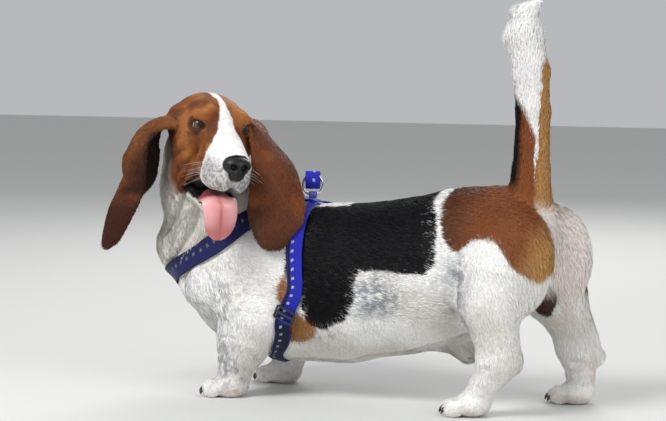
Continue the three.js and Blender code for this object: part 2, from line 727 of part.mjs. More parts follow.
function sheet(rows, { steps, across, thickness, push = (p) => p }) {
  const stations = curveThrough(rows, steps);
  const middles = stations.map((station) => station.slice(0, 3));
  const grid = stations.map((station, i) => {
    const [, , , half, turn, tilt, bow] = station;
    const along = unit(sub(middles[Math.min(i + 1, steps)], middles[Math.max(i - 1, 0)]));
    const level = [Math.cos(radians(turn)), Math.sin(radians(turn)), Math.tan(radians(tilt))];
    const side = unit(add(level, along, -dot(level, along)));
    const out = unit(cross(side, along));
    return Array.from({ length: across + 1 }, (_, j) => {
      const q = (2 * j) / across - 1;
      const flat = add(middles[i], side, q * half);
      return add(flat, out, bow * (1 - q * q));
    });
  });
  const rowsOf = (i, j) => grid[THREE.MathUtils.clamp(i, 0, steps)][THREE.MathUtils.clamp(j, 0, across)];
  const faceOf = (way) =>
    grid.map((row, i) =>
      row.map((p, j) => {
        const along = sub(rowsOf(i + 1, j), rowsOf(i - 1, j));
        const side = sub(rowsOf(i, j + 1), rowsOf(i, j - 1));
        const q = (2 * j) / across - 1;
        const thick = thickness(i / steps, q) / 2;
        return add(p, unit(cross(side, along)), way * thick);
      }),
    );
  const outer = faceOf(1).map((row) => row.map(push));
  const inner = faceOf(-1).map((row) => row.map(push));
  const wide = across + 1;
  const all = wide * (steps + 1);
  const at = (i, j, under) => i * wide + j + (under ? all : 0);
  const triangles = [];
  const quad = (a, b, c, d) => triangles.push([a, b, c], [a, c, d]);
  for (let i = 0; i < steps; i++) {
    for (let j = 0; j < across; j++) {
      quad(at(i, j), at(i, j + 1), at(i + 1, j + 1), at(i + 1, j));
      triangles.push([at(i, j, 1), at(i + 1, j + 1, 1), at(i, j + 1, 1)]);
      triangles.push([at(i, j, 1), at(i + 1, j, 1), at(i + 1, j + 1, 1)]);
    }
    quad(at(i, 0), at(i + 1, 0), at(i + 1, 0, 1), at(i, 0, 1));
    quad(at(i, across), at(i, across, 1), at(i + 1, across, 1), at(i + 1, across));
  }
  for (let j = 0; j < across; j++) {
    quad(at(0, j), at(0, j, 1), at(0, j + 1, 1), at(0, j + 1));
    quad(at(steps, j), at(steps, j + 1), at(steps, j + 1, 1), at(steps, j, 1));
  }
  return facingOut({ positions: [...outer.flat(), ...inner.flat()], triangles });
}

// Ears: x, y, z, half the width, turn and tilt of the way across, and how deep the cup is
const EAR_ROWS = {
  right: [
    [-230, -104, 466, 27, 131, 15, 2],
    [-254, -122, 453, 30, 106, 10, 16],
    [-266, -133, 430, 32, 102, 6, 33],
    [-268, -136, 399, 30, 99, 0, 50],
    [-274, -136, 360, 27, 104, 2, 46],
    [-296, -133, 328, 24, 117, 9, 40],
    [-321, -130, 301, 23, 134, 14, 34],
    [-347, -127, 272, 22, 146, 13, 20],
    [-366, -126, 250, 10, 150, 9, 6],
  ],
  left: [
    [-154, -30, 462, 27, 135, 15, 0],
    [-126, -38, 450, 36, 117, 11, -4],
    [-103, -51, 422, 36, 86, 5, -10],
    [-79, -67, 385, 38, 52, 6, -15],
    [-68, -81, 355, 43, 38, 5, -16],
    [-61, -93, 324, 47, 25, 2, -15],
    [-58, -102, 295, 43, 20, 3, -12],
    [-58, -109, 270, 29, 20, 0, -8],
    [-57, -112, 256, 11, 22, 0, -3],
  ],
};
const EAR_CLEARANCE = 8;
const shoulders = fieldOf([...trunk, ...neck, ...frontLeg(frontLegs.left)]);
const clearOfShoulder = (p) =>
  p[2] < 430 && shoulders(p) < EAR_CLEARANCE ? settle(shoulders, p, EAR_CLEARANCE, 12, 4) : p;
const earThickness = (t, q) => (EAR_THICKNESS + 4 * Math.max(0, 1 - 4 * t)) * (1 - 0.45 * q * q);
const earSolid = (rows, push) =>
  sheet(rows, { steps: 16, across: 8, thickness: earThickness, push });

// Tongue: over the lower lip and down, a little towards the right, with a groove along it
const TONGUE_ROWS = [
  [46, 0, -104, 22, 2],
  [72, -3, -104, 25, 3],
  [98, -7, -102, 28, 4],
  [122, -10, -97, 29, 4],
  [135, -11, -99, 29, 4],
  [141, -9, -114, 28, 4],
  [140, -7, -132, 26, 3.5],
  [136, -5, -148, 20, 3],
  [133, -4, -159, 9, 1],
].map(([f, s, u, half, groove]) => [...onHead([f, s, u]), half, HEAD_YAW, 0, -groove]);
const tongueThickness = (t, q) => TONGUE_THICKNESS * (1 - 0.35 * t) * (1 - 0.6 * q ** 4);
const tongueSolid = () => sheet(TONGUE_ROWS, { steps: 16, across: 6, thickness: tongueThickness });

// Webbing: a band that follows a path laid on the body
const strapBed = fieldOf(body);
function castToBody(from, way) {
  let reach = 300;
  while (reach > 0 && strapBed(add(from, way, reach)) > WEBBING_LIFT) reach -= 3;
  const start = add(from, way, reach);
  return settle(strapBed, start, WEBBING_LIFT, 3, 5);
}
function band(path, { width, closed, room = 0, outward }) {
  const count = path.length;
  const before = (i) => (closed ? (i + count - 1) % count : Math.max(0, i - 1));
  const after = (i) => (closed ? (i + 1) % count : Math.min(count - 1, i + 1));
  const places = [-1, 0, 1];
  const rings = path.map((p, i) => {
    const out = unit(outward ? outward(p) : slopeAt(strapBed, p));
    const along = unit(sub(path[after(i)], path[before(i)]));
    const across = unit(cross(along, out));
    const feet = places.map((q) => {
      const foot = add(p, across, (q * width) / 2);
      const laid = outward ? foot : settle(strapBed, foot, WEBBING_LIFT, 6, 4);
      return add(laid, across, q * room);
    });
    const low = feet.map((foot) => add(foot, out, -room));
    const high = feet.map((foot) => add(foot, out, WEBBING_THICKNESS + room));
    return [...low, ...high.reverse()];
  });
  const size = 6;
  const triangles = [];
  const spans = closed ? count : count - 1;
  for (let i = 0; i < spans; i++)
    for (let j = 0; j < size; j++) {
      const a = i * size + j;
      const b = i * size + ((j + 1) % size);
      const c = after(i) * size + ((j + 1) % size);
      const d = after(i) * size + j;
      triangles.push([a, b, c], [a, c, d]);
    }
  if (!closed) {
    const cap = (start, flip) =>
      [[0, 1, 5], [1, 4, 5], [1, 2, 4], [2, 3, 4]].forEach(([a, b, c]) =>
        triangles.push(flip ? [start + a, start + b, start + c] : [start + a, start + c, start + b]),
      );
    cap(0, false);
    cap((count - 1) * size, true);
  }
  return facingOut({ positions: rings.flat(), triangles });
}

// Girth strap: how far along the body it lies at each turn round the trunk, in degrees from the top
const GIRTH_AT = [[-36, 0], [-27, 50], [-20, 90], [-50, 130], [-84, 160], [-97, 180]];
const GIRTH_HEIGHT = 195;
const GIRTH_STATIONS = 44;
const GIRTH_FAR_BACKSET = 24;
function girthX(turn) {
  const i = GIRTH_AT.findIndex(([, at]) => at >= turn);
  if (i === 0) return GIRTH_AT[0][0];
  const [x1, t1] = GIRTH_AT[i - 1];
  const [x2, t2] = GIRTH_AT[i];
  const t = (turn - t1) / (t2 - t1);
  return x1 + (x2 - x1) * t * t * (3 - 2 * t);
}
const girthPath = Array.from({ length: GIRTH_STATIONS }, (_, i) => {
  const turn = (360 * i) / GIRTH_STATIONS;
  const fromTop = turn > 180 ? 360 - turn : turn;
  const way = [0, -Math.sin(radians(turn)), Math.cos(radians(turn))];
  const behindElbow = GIRTH_FAR_BACKSET * Math.max(0, -Math.sin(radians(turn)));
  return castToBody([girthX(fromTop) + behindElbow, 0, GIRTH_HEIGHT], way);
});

// Neck strap: a flat loop from the withers down over the shoulders to the forechest
const NECK_LOOP_AT = [-172, -6, 256];
const NECK_LOOP_FRONT = unit([-238, 0, -140]);
const NECK_STATIONS = 44;
const NECK_TOP_SHIFT = -26;
const neckPath = Array.from({ length: NECK_STATIONS }, (_, i) => {
  const turn = radians((360 * i) / NECK_STATIONS);
  const way = add(scale(NECK_LOOP_FRONT, Math.cos(turn)), [0, -1, 0], Math.sin(turn));
  const atTop = ((1 - Math.cos(turn)) / 2) ** 3;
  return castToBody(add(NECK_LOOP_AT, [NECK_TOP_SHIFT, 0, 0], atTop), way);
});

// Sternum strap: down the middle of the chest and back between the forelegs
const STERNUM_FROM = [-150, 0, 190];
const STERNUM_TURNS = [192, 258];
const STERNUM_STATIONS = 16;
const sternumPath = Array.from({ length: STERNUM_STATIONS + 1 }, (_, i) => {
  const turn = radians(THREE.MathUtils.lerp(...STERNUM_TURNS, i / STERNUM_STATIONS));
  return castToBody(STERNUM_FROM, [Math.cos(turn), 0, Math.sin(turn)]);
});

// Hardware on the webbing, built flat and then set on the strap at one of its path's stations
function placed(geometry, at, out, along) {
  const across = unit(cross(out, along));
  const way = unit(cross(across, out));
  const turn = new THREE.Matrix4().makeBasis(
    new THREE.Vector3(...way),
    new THREE.Vector3(...across),
    new THREE.Vector3(...out),
  );
  geometry.applyMatrix4(turn);
  geometry.translate(...at);
  return geometry;
}
const roundedPlate = (long, wide, corner) => {
  const [x, y] = [long / 2, wide / 2];
  const shape = new THREE.Shape();
  shape.moveTo(-x + corner, -y);
  shape.lineTo(x - corner, -y);
  shape.absarc(x - corner, -y + corner, corner, -Math.PI / 2, 0);
  shape.lineTo(x, y - corner);
  shape.absarc(x - corner, y - corner, corner, 0, Math.PI / 2);
  shape.lineTo(-x + corner, y);
  shape.absarc(-x + corner, y - corner, corner, Math.PI / 2, Math.PI);
  shape.lineTo(-x, -y + corner);
  shape.absarc(-x + corner, -y + corner, corner, Math.PI, Math.PI * 1.5);
  return shape;
};
const OVER_STRAP = WEBBING_THICKNESS + GAP * 2;
function onStrap(path, i, geometry) {
  const count = path.length;
  const at = path[i % count];
  const out = unit(slopeAt(strapBed, at));
  const along = sub(path[(i + 1) % count], path[(i + count - 1) % count]);
  return solidFrom(placed(geometry, add(at, out, OVER_STRAP), out, along));
}

// A three bar slider: a thin frame with two slots
function sliderSolid(path, i) {
  const depth = 3.5;
  const shape = roundedPlate(26, GIRTH_WIDTH + 8, 4);
  const frame = new THREE.ExtrudeGeometry(shape, { depth, bevelEnabled: false, curveSegments: 3 });
  const slots = [-6, 6].map((x) => {
    const slot = new THREE.BoxGeometry(6, GIRTH_WIDTH, 4 * depth);
    slot.translate(x, 0, 0);
    return onStrap(path, i, slot);
  });
  return slots.reduce((solid, slot) => solid.subtract(slot), onStrap(path, i, frame));
}

// A side release buckle: a body with a waist where the prongs are squeezed
function buckleSolid(path, i) {
  const [x, y] = [29, GIRTH_WIDTH / 2 + 4];
  const shape = new THREE.Shape();
  shape.moveTo(-x, -y);
  shape.quadraticCurveTo(-6, -y, 0, -y + 5);
  shape.quadraticCurveTo(6, -y, x, -y);
  shape.lineTo(x, y);
  shape.quadraticCurveTo(6, y, 0, y - 5);
  shape.quadraticCurveTo(-6, y, -x, y);
  const options = { depth: 9, bevelEnabled: true, bevelSize: 1.5, bevelThickness: 1.5, bevelSegments: 1 };
  const geometry = new THREE.ExtrudeGeometry(shape, { ...options, curveSegments: 4 });
  geometry.translate(0, 0, 1.5);
  return onStrap(path, i, geometry);
}

// At the withers: a sewn plate over both straps, a ring held by a tab, and a loop through the ring
const PLATE_AT = castToBody([-54, 0, 200], UP);
const PLATE_OUT = unit(slopeAt(strapBed, PLATE_AT));
const PLATE = { long: 56, wide: 26, thick: 2.4 };
const TAB_WIDTH = 13;
const TAB_RADIUS = 3.8;
const LOOP_WIDTH = 24;
const RING_TURN = radians(18);
const RING_WAY = [Math.cos(RING_TURN), Math.sin(RING_TURN), 0];
const RING_SIDE = cross(UP, RING_WAY);
const TAB_LIFT = OVER_STRAP + PLATE.thick + GAP * 3 + TAB_RADIUS + WEBBING_THICKNESS;
const TAB_AT = add(castToBody([-37, 0, 200], UP), UP, TAB_LIFT);
const RING_AT = add(TAB_AT, UP, RING_RADIUS);
const LOOP_AT = add(RING_AT, UP, 8);
function platePiece() {
  const depth = PLATE.thick;
  const shape = roundedPlate(PLATE.long, PLATE.wide, 5);
  const geometry = new THREE.ExtrudeGeometry(shape, { depth, bevelEnabled: false, curveSegments: 3 });
  return solidFrom(placed(geometry, add(PLATE_AT, PLATE_OUT, OVER_STRAP), PLATE_OUT, WORLD_AXES[0]));
}
function ringPiece() {
  const ring = new THREE.TorusGeometry(RING_RADIUS, RING_WIRE, 7, 24);
  ring.rotateX(radians(90));
  ring.rotateZ(RING_TURN);
  ring.translate(...RING_AT);
  return solidFrom(ring);
}
function loopPiece(at, wide, tall, width, count) {
  const path = Array.from({ length: count }, (_, i) => {
    const turn = (2 * Math.PI * i) / count;
    return add(add(at, RING_SIDE, wide * Math.cos(turn)), UP, tall * Math.sin(turn));
  });
  const outward = (p) => {
    const d = sub(p, at);
    return add(scale(RING_SIDE, dot(d, RING_SIDE) / (wide * wide)), UP, d[2] / (tall * tall));
  };
  return band(path, { width, closed: true, outward });
}

// Group
const group = new THREE.Group();
function node(name, solid, colour, roughness = 0.75, metalness = 0) {
  const material = new THREE.MeshStandardMaterial({ color: colour, roughness, metalness });
  const mesh = new THREE.Mesh(geometryOf(solid), material);
  mesh.name = name;
  group.add(mesh);
}

const headWhole = fleshIn(MESHES.head);
const headCutter = grown(headWhole, 0.8);
const tongueRoom = grown(tongueSolid(), 1);
const headPart = headWhole.intersect(region(HEAD_CUTS, -GAP / 2));
let headSolid = headPart.subtract(region(JAW_CUTS, GAP / 2));
for (const side of [-1, 1])
  headSolid = headSolid.subtract(eyeSolid(side, GAP)).subtract(lidOpening(side));
headSolid = headSolid.subtract(noseSolid(noseForm(GAP * 2))).subtract(tongueRoom);
const jawSolid = headPart.intersect(region(JAW_CUTS, -GAP / 2)).subtract(tongueRoom);

const torsoWhole = fleshIn(MESHES.torso);
const torsoCuts = [
  region([NECK_CUT, AHEAD_OF_HIPS], GAP / 2),
  region([TAIL_CUT, BEHIND_HIPS], GAP / 2),
  ...Object.values(frontLegs).map((leg) => region(frontLegCuts(leg), GAP / 2)),
  ...Object.values(hindLegs).map((leg) => region(hindLegCuts(leg), GAP / 2)),
];
const torsoSolid = torsoCuts.reduce((solid, cut) => solid.subtract(cut), torsoWhole);
const neckSolid = fleshIn(MESHES.neck)
  .intersect(region([NECK_CUT, AHEAD_OF_HIPS], -GAP / 2))
  .subtract(region(HEAD_CUTS, GAP / 2));
const tailSolid = fleshIn(MESHES.tail).intersect(region([TAIL_CUT], -GAP / 2));

const COLOURS = { white: 0xe9e4de, brown: 0x7b4127, black: 0x17161a, pink: 0xd9838f, blue: 0x1d2fb4, steel: 0xd8dade };
node("head", largest(headSolid), COLOURS.brown);
node("lower_jaw", largest(jawSolid), COLOURS.white);
node("nose", largest(noseSolid([...noseForm(0), ...nostrils])), COLOURS.black, 0.35);
node("tongue", largest(tongueSolid()), COLOURS.pink, 0.35);
node("eye_left", eyeSolid(1), COLOURS.black, 0.1);
node("eye_right", eyeSolid(-1), COLOURS.black, 0.1);
node("ear_left", largest(earSolid(EAR_ROWS.left, clearOfShoulder).subtract(headCutter)), COLOURS.brown);
node("ear_right", largest(earSolid(EAR_ROWS.right).subtract(headCutter)), COLOURS.brown);
node("neck", largest(neckSolid), COLOURS.white);
node("torso", largest(torsoSolid), COLOURS.black);
node("tail", largest(tailSolid), COLOURS.white);
const legSolids = { left: frontLegSolid(frontLegs.left), right: frontLegSolid(frontLegs.right) };
for (const [name, solid] of Object.entries(legSolids)) node("leg_front_" + name, solid, COLOURS.white);
for (const [name, leg] of Object.entries(hindLegs))
  node("leg_hind_" + name, hindLegSolid(leg), COLOURS.white);
const farLeg = grown(legSolids.right, GAP * 3);
const girthBand = (room) => band(girthPath, { width: GIRTH_WIDTH, closed: true, room });
const neckBand = (room) => band(neckPath, { width: NECK_WIDTH, closed: true, room });
const strapRoom = [girthBand(GAP * 2), neckBand(GAP * 2)];
const overStraps = (solid) => largest(strapRoom.reduce((left, room) => left.subtract(room), solid));
node("strap_girth", largest(girthBand(0).subtract(farLeg)), COLOURS.blue);
node("strap_neck", neckBand(0), COLOURS.blue);
node("strap_sternum", band(sternumPath, { width: STERNUM_WIDTH, closed: false }), COLOURS.black);
node("withers_plate", overStraps(platePiece()), COLOURS.blue);
node("withers_ring", ringPiece(), COLOURS.steel, 0.25, 1);
node("withers_tab", loopPiece(TAB_AT, TAB_RADIUS, TAB_RADIUS, TAB_WIDTH, 14), COLOURS.blue);
node("withers_loop", loopPiece(LOOP_AT, 8, 13, LOOP_WIDTH, 20), COLOURS.blue);
node("slider_left", overStraps(sliderSolid(girthPath, 14)), COLOURS.black, 0.5);
node("buckle_right", overStraps(buckleSolid(girthPath, 32)), COLOURS.black, 0.45);

group.position.set(...ORIGIN_SHIFT);
export default group;
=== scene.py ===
# %% [markdown]
# A basset hound stands with its head turned back over its left shoulder, its mouth open and its tail
# straight up. It wears a harness of blue webbing. The solids already hold every shape and size, so this
# lesson dresses them: one skin over all the flesh, short hair in its own markings, eyes, nose leather,
# tongue, claws and whiskers, and the woven harness with its hardware.

# %% Start
import json
import math
import time

import bpy
import numpy as np
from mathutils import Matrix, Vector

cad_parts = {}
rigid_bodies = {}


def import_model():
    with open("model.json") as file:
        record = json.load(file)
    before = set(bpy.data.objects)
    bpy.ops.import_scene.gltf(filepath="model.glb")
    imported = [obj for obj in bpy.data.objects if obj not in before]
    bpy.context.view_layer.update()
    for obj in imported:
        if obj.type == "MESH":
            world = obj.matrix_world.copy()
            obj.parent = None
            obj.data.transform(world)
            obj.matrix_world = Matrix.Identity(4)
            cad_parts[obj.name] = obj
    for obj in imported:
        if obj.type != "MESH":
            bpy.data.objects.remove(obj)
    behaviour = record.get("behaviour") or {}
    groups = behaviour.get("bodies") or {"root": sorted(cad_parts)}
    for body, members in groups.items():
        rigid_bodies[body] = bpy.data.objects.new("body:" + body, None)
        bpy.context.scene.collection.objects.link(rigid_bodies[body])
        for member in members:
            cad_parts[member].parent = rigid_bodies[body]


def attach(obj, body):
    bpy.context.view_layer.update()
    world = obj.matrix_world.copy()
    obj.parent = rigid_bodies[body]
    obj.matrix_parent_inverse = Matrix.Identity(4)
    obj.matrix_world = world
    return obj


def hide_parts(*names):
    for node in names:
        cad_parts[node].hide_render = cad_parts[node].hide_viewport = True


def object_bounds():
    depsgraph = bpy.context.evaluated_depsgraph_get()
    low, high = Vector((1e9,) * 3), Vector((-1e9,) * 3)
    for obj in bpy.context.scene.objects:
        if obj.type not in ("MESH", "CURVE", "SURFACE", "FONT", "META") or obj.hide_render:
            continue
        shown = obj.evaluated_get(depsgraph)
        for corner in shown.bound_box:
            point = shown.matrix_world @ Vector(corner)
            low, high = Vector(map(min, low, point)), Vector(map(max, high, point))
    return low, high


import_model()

import openvdb
from mathutils import Vector

started = time.time()


def clock():
    return f"at {time.time() - started:.1f} s"


solid_box = [[float(v) for v in corner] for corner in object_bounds()]
print("solids reach from", np.round(solid_box[0], 3), "to", np.round(solid_box[1], 3))

# %% [markdown]
# The hound's shapes are easiest to write in millimetres, with x along the body and z up from the floor.
# Blender works in metres round the middle of the model, so one shift and one scale lead from one to the
# other. Every mesh goes through the same small maker, which fills Blender's arrays directly, because that
# stays quick with a hundred thousand faces.

# %% Millimetres to the scene
BODY_TO_SCENE = np.array([-38.5, 35.0, 0.0])
UP = np.array([0.0, 0.0, 1.0])


def to_scene(points):
    return (np.asarray(points, float) + BODY_TO_SCENE) / 1000


def from_scene(points):
    return np.asarray(points, float) * 1000 - BODY_TO_SCENE


def unit(v):
    v = np.asarray(v, float)
    return v / np.maximum(np.linalg.norm(v, axis=-1, keepdims=True), 1e-9)


def around(count):
    return np.linspace(0, 2 * math.pi, count, endpoint=False)


print("the body's origin is at", to_scene([0, 0, 0]), "m in the scene")

# %% Meshes, pieces and paint
def make_mesh(name, points, faces):
    faces = np.asarray(faces, np.int32)
    mesh = bpy.data.meshes.new(name)
    mesh.vertices.add(len(points))
    mesh.vertices.foreach_set("co", to_scene(points).ravel())
    mesh.loops.add(faces.size)
    mesh.loops.foreach_set("vertex_index", faces.ravel())
    mesh.polygons.add(len(faces))
    mesh.polygons.foreach_set("loop_start", np.arange(len(faces)) * faces.shape[1])
    mesh.polygons.foreach_set("use_smooth", np.ones(len(faces), bool))
    mesh.update(calc_edges=True)
    return mesh


def add_piece(name, mesh, material, nodes=()):
    piece = bpy.data.objects.new(name, mesh)
    bpy.context.scene.collection.objects.link(piece)
    mesh.materials.append(material)
    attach(piece, "root")
    if nodes:
        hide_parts(*nodes)
    return piece


def paint(mesh, name, colours):
    layer = mesh.attributes.new(name, "FLOAT_COLOR", "POINT")
    rgba = np.ones((len(mesh.vertices), 4))
    rgba[:, :3] = colours
    layer.data.foreach_set("color", rgba.ravel())


def number(mesh, name, values):
    layer = mesh.attributes.new(name, "FLOAT", "POINT")
    layer.data.foreach_set("value", np.asarray(values, np.float32))


# %% [markdown]
# The photo was taken from a little above the hound's back, about 24 degrees round from square on. A long
# lens from 3.6 m away keeps the legs in the same proportion as in the photo.

# %% Camera
CAMERA_TURN = math.radians(24)
CAMERA_RISE = math.radians(5.08)
CAMERA_AWAY = 3600
AIM = np.array([0, 0, 313.0])
PHOTO_WIDTH = 666
FOCAL_PIXELS = 2143
back = np.array([
    math.sin(CAMERA_TURN) * math.cos(CAMERA_RISE),
    -math.cos(CAMERA_TURN) * math.cos(CAMERA_RISE),
    math.sin(CAMERA_RISE),
])
camera_data = bpy.data.cameras.new("camera")
camera_data.sensor_fit = "HORIZONTAL"
camera_data.sensor_width = 36
camera_data.lens = 36 * FOCAL_PIXELS / PHOTO_WIDTH
camera_data.clip_end = 50
camera = bpy.data.objects.new("camera", camera_data)
bpy.context.scene.collection.objects.link(camera)
camera.location = to_scene(AIM + back * CAMERA_AWAY)
camera.rotation_euler = Vector(back).to_track_quat("Z", "Y").to_euler()
bpy.context.scene.camera = camera
print("lens", round(camera_data.lens, 1), "mm")

# %% [markdown]
# A museum model is shown on something plain. A pale floor and three large soft lights give the white coat
# its shape without hard shadows. The main light is high and in front, as the sky was in the photo.

# %% Floor and lights
floor_mesh = bpy.data.meshes.new("floor")
floor_mesh.from_pydata([(-9, -9, 0), (9, -9, 0), (9, 9, 0), (-9, 9, 0)], [], [(0, 1, 2, 3)])
floor = bpy.data.objects.new("floor", floor_mesh)
bpy.context.scene.collection.objects.link(floor)
floor_material = bpy.data.materials.new("pale_floor")
floor_material.use_nodes = True
floor_shader = floor_material.node_tree.nodes["Principled BSDF"]
floor_shader.inputs["Base Color"].default_value = (0.62, 0.62, 0.60, 1)
floor_shader.inputs["Roughness"].default_value = 0.9
floor_mesh.materials.append(floor_material)


def soft_light(name, place, aim, size, power):
    data = bpy.data.lights.new(name, "AREA")
    data.shape = "DISK"
    data.size = size
    data.energy = power
    light = bpy.data.objects.new(name, data)
    bpy.context.scene.collection.objects.link(light)
    light.location = place
    light.rotation_euler = (Vector(place) - Vector(aim)).to_track_quat("Z", "Y").to_euler()


soft_light("main", (-0.9, -2.2, 2.6), (0, 0, 0.3), 1.5, 92)
soft_light("side", (2.6, -1.2, 1.6), (0, 0, 0.3), 1.8, 30)
soft_light("behind", (-0.5, 2.6, 2.2), (0, 0, 0.3), 2.0, 46)
world = bpy.data.worlds.new("soft_room")
bpy.context.scene.world = world
world.use_nodes = True
world.node_tree.nodes["Background"].inputs["Color"].default_value = (0.86, 0.88, 0.91, 1)
world.node_tree.nodes["Background"].inputs["Strength"].default_value = 0.55
bpy.context.scene.view_settings.view_transform = "Standard"
print("floor, room and 3 lights")

# %% [markdown]
# Flesh has no edges, so it is written as a field: for each tapered limb or egg shape, how far a point lies
# outside it. A smooth least value melts one shape into the next, as muscle does into shoulder. The same
# named shapes make the solids, so the skin drawn from this field fits inside them.

# %% Limbs and eggs
FAR = 1000.0


def limb(start, end, r1, r2, blend=14.0, squash=1.0):
    start, end = np.array(start, float), np.array(end, float)
    ease = 0.5 + squash / 2 if squash < 1 else 1.0
    axis = (end - start) * [1, 1 / squash, 1]
    whole = float(axis @ axis)

    def distance(x, y, z):
        px, py, pz = x - start[0], (y - start[1]) / squash, z - start[2]
        t = np.clip((px * axis[0] + py * axis[1] + pz * axis[2]) / whole, 0, 1)
        away = (px - axis[0] * t) ** 2 + (py - axis[1] * t) ** 2 + (pz - axis[2] * t) ** 2
        return (np.sqrt(away) - r1 - (r2 - r1) * t) * ease

    low, high = np.minimum(start - r1, end - r2), np.maximum(start + r1, end + r2)
    return {"low": low, "high": high, "blend": blend, "distance": distance, "hollow": False}


def egg(at, radii, blend=14.0, axes=np.eye(3)):
    at, radii, axes = np.array(at, float), np.array(radii, float), np.array(axes, float)
    rows = axes / radii[:, None]

    def distance(x, y, z):
        px, py, pz = x - at[0], y - at[1], z - at[2]
        a, b = 0.0, 0.0
        for row, radius in zip(rows, radii):
            q = px * row[0] + py * row[1] + pz * row[2]
            a = a + q * q
            b = b + q * q / radius**2
        a = np.sqrt(a)
        return a * (a - 1) / np.sqrt(np.maximum(b, 1e-12))

    reach = np.sqrt(((axes * radii[:, None]) ** 2).sum(0))
    return {"low": at - reach, "high": at + reach, "blend": blend, "distance": distance, "hollow": False}


def hollow(shape):
    return {**shape, "hollow": True}


def chain(stations, blend, squash=1.0):
    pairs = zip(stations, stations[1:])
    return [limb(a[:3], b[:3], a[3], b[3], blend, squash) for a, b in pairs]


def smooth_least(a, b, k):
    h = np.maximum(k - np.abs(a - b), 0) / k
    return np.minimum(a, b) - h * h * k / 4


def join(field, shape, value):
    if shape["hollow"]:
        return -smooth_least(-field, value, shape["blend"])
    return smooth_least(field, value, shape["blend"])


# %% The field at points, and a step onto its surface
def field_at(shapes, points):
    points = np.asarray(points, float)
    field = np.full(len(points), FAR)
    for shape in shapes:
        reach = shape["blend"] + 4
        near = ((points > shape["low"] - reach) & (points < shape["high"] + reach)).all(1)
        if near.any():
            field[near] = join(field[near], shape, shape["distance"](*points[near].T))
    return field


def slope_at(shapes, points, step=0.5):
    points = np.asarray(points, float)
    sides = []
    for axis in np.eye(3) * step:
        sides.append((field_at(shapes, points + axis) - field_at(shapes, points - axis)) / (2 * step))
    return np.stack(sides, 1)


def settle(shapes, points, height=0.0, most=4.0, rounds=3):
    points = np.array(points, float)
    for _ in range(rounds):
        slope = slope_at(shapes, points)
        steep = np.maximum(np.linalg.norm(slope, axis=1), 0.2)
        move = np.clip((height - field_at(shapes, points)) / steep, -most, most)
        points += slope * (move / steep)[:, None]
    return points


# %% [markdown]
# The trunk is a chain of stations from the forechest to the buttocks: where the middle is, and half the
# height there. It is squashed from side to side, because a hound's chest is deeper than it is wide. The
# neck bends towards the left, and the tail is a chain that narrows, thickens with hair and narrows again.

# %% Trunk, neck and tail
TRUNK_SQUASH = 0.8
FOREARM_SQUASH = 0.82
trunk = chain([
    (-222, 0, 212, 69), (-150, 0, 194, 116), (-70, 0, 188, 126), (20, 0, 192, 128),
    (121, 0, 206, 122), (192, 0, 223, 117), (250, 0, 246, 110), (308, 0, 272, 92),
], 24, TRUNK_SQUASH)
neck = chain([(-100, 0, 246, 80), (-180, -10, 288, 84), (-219, -40, 345, 71), (-222, -52, 405, 62)], 30)
neck.append(limb((-238, -32, 290), (-250, -38, 250), 52, 58, 26))
TAIL_STATIONS = [
    (345, 0, 335, 42), (349, 0, 384, 30), (352, 0, 480, 26.5), (348, 0, 545, 28.5),
    (336, 0, 600, 31), (335, 0, 630, 22), (358, 0, 658, 7),
]
tail = chain(TAIL_STATIONS, 8)
belly = [
    limb((176, 0, 116), (232, 0, 98), 22, 19, 16), limb((232, 0, 98), (240, 0, 88), 19, 17, 10),
    egg((374, -6, 186), (20, 19, 25), 10),
]

# %% Legs and paws
TOE_SPREAD = 15
TOE_RADII = (17, 9.5, 15)


def toes_of(at, side):
    places = (-1.5, -0.5, 0.5, 1.5)
    reach = [-24 if abs(p) > 1 else -33 for p in places]
    return [(at[0] + r, at[1] + p * TOE_SPREAD + side * 3, 13.5) for p, r in zip(places, reach)]


def paw(at, side):
    pads = [egg((at[0] - 2, at[1], 18), (32, 30, 21), 10)]
    return pads + [egg(toe, TOE_RADII, 5) for toe in toes_of(at, side)]


def front_leg(side, shift, at):
    shoulder, elbow = (-196, side * 62, 195), (-106 + shift / 2, side * 82, 140)
    forearm, wrist = (-128 + shift, side * 80, 96), (-145 + shift, side * 78, 46)
    return [
        limb((-58, side * 52, 270), shoulder, 44, 48, 30), limb(shoulder, elbow, 48, 42, 26),
        limb(elbow, forearm, 44, 45, 16, FOREARM_SQUASH), limb(forearm, wrist, 45, 28, 16, FOREARM_SQUASH),
        limb(wrist, (wrist[0] - 4, wrist[1] + side * 3, 24), 28, 26, 10), *paw(at, side),
    ]


def hind_leg(side, hip, stifle, hock, heel, at):
    return [
        egg((hip + 6, side * 55, 246), (72, 48, 88), 30),
        limb((hip - 12, side * 70, 230), (stifle + 8, side * 82, 182), 60, 46, 26),
        limb((stifle + 8, side * 82, 182), (hock + 2, side * 86, 106), 45, 35, 20),
        limb((hock - 8, side * 86, 94), (heel[0], side * 86, heel[1]), 28, 16, 14),
        limb((hock + 4, side * 86, 88), (at[0] + 8, side * 87, 34), 29, 23, 14),
        *paw(at, side),
    ]


PAWS = {
    "front_left": ((-152, -82, 0), -1), "front_right": ((-134, 82, 0), 1),
    "hind_left": ((284, -88, 0), -1), "hind_right": ((402, 88, 0), 1),
}
legs = [
    *front_leg(-1, 0, PAWS["front_left"][0]), *front_leg(1, 26, PAWS["front_right"][0]),
    *hind_leg(-1, 326, 300, 326, (350, 90), PAWS["hind_left"][0]),
    *hind_leg(1, 357, 358, 402, (435, 82), PAWS["hind_right"][0]),
]
body = [*trunk, *neck, *legs, *belly]
print(len(body) + len(tail), "shapes in body and tail")

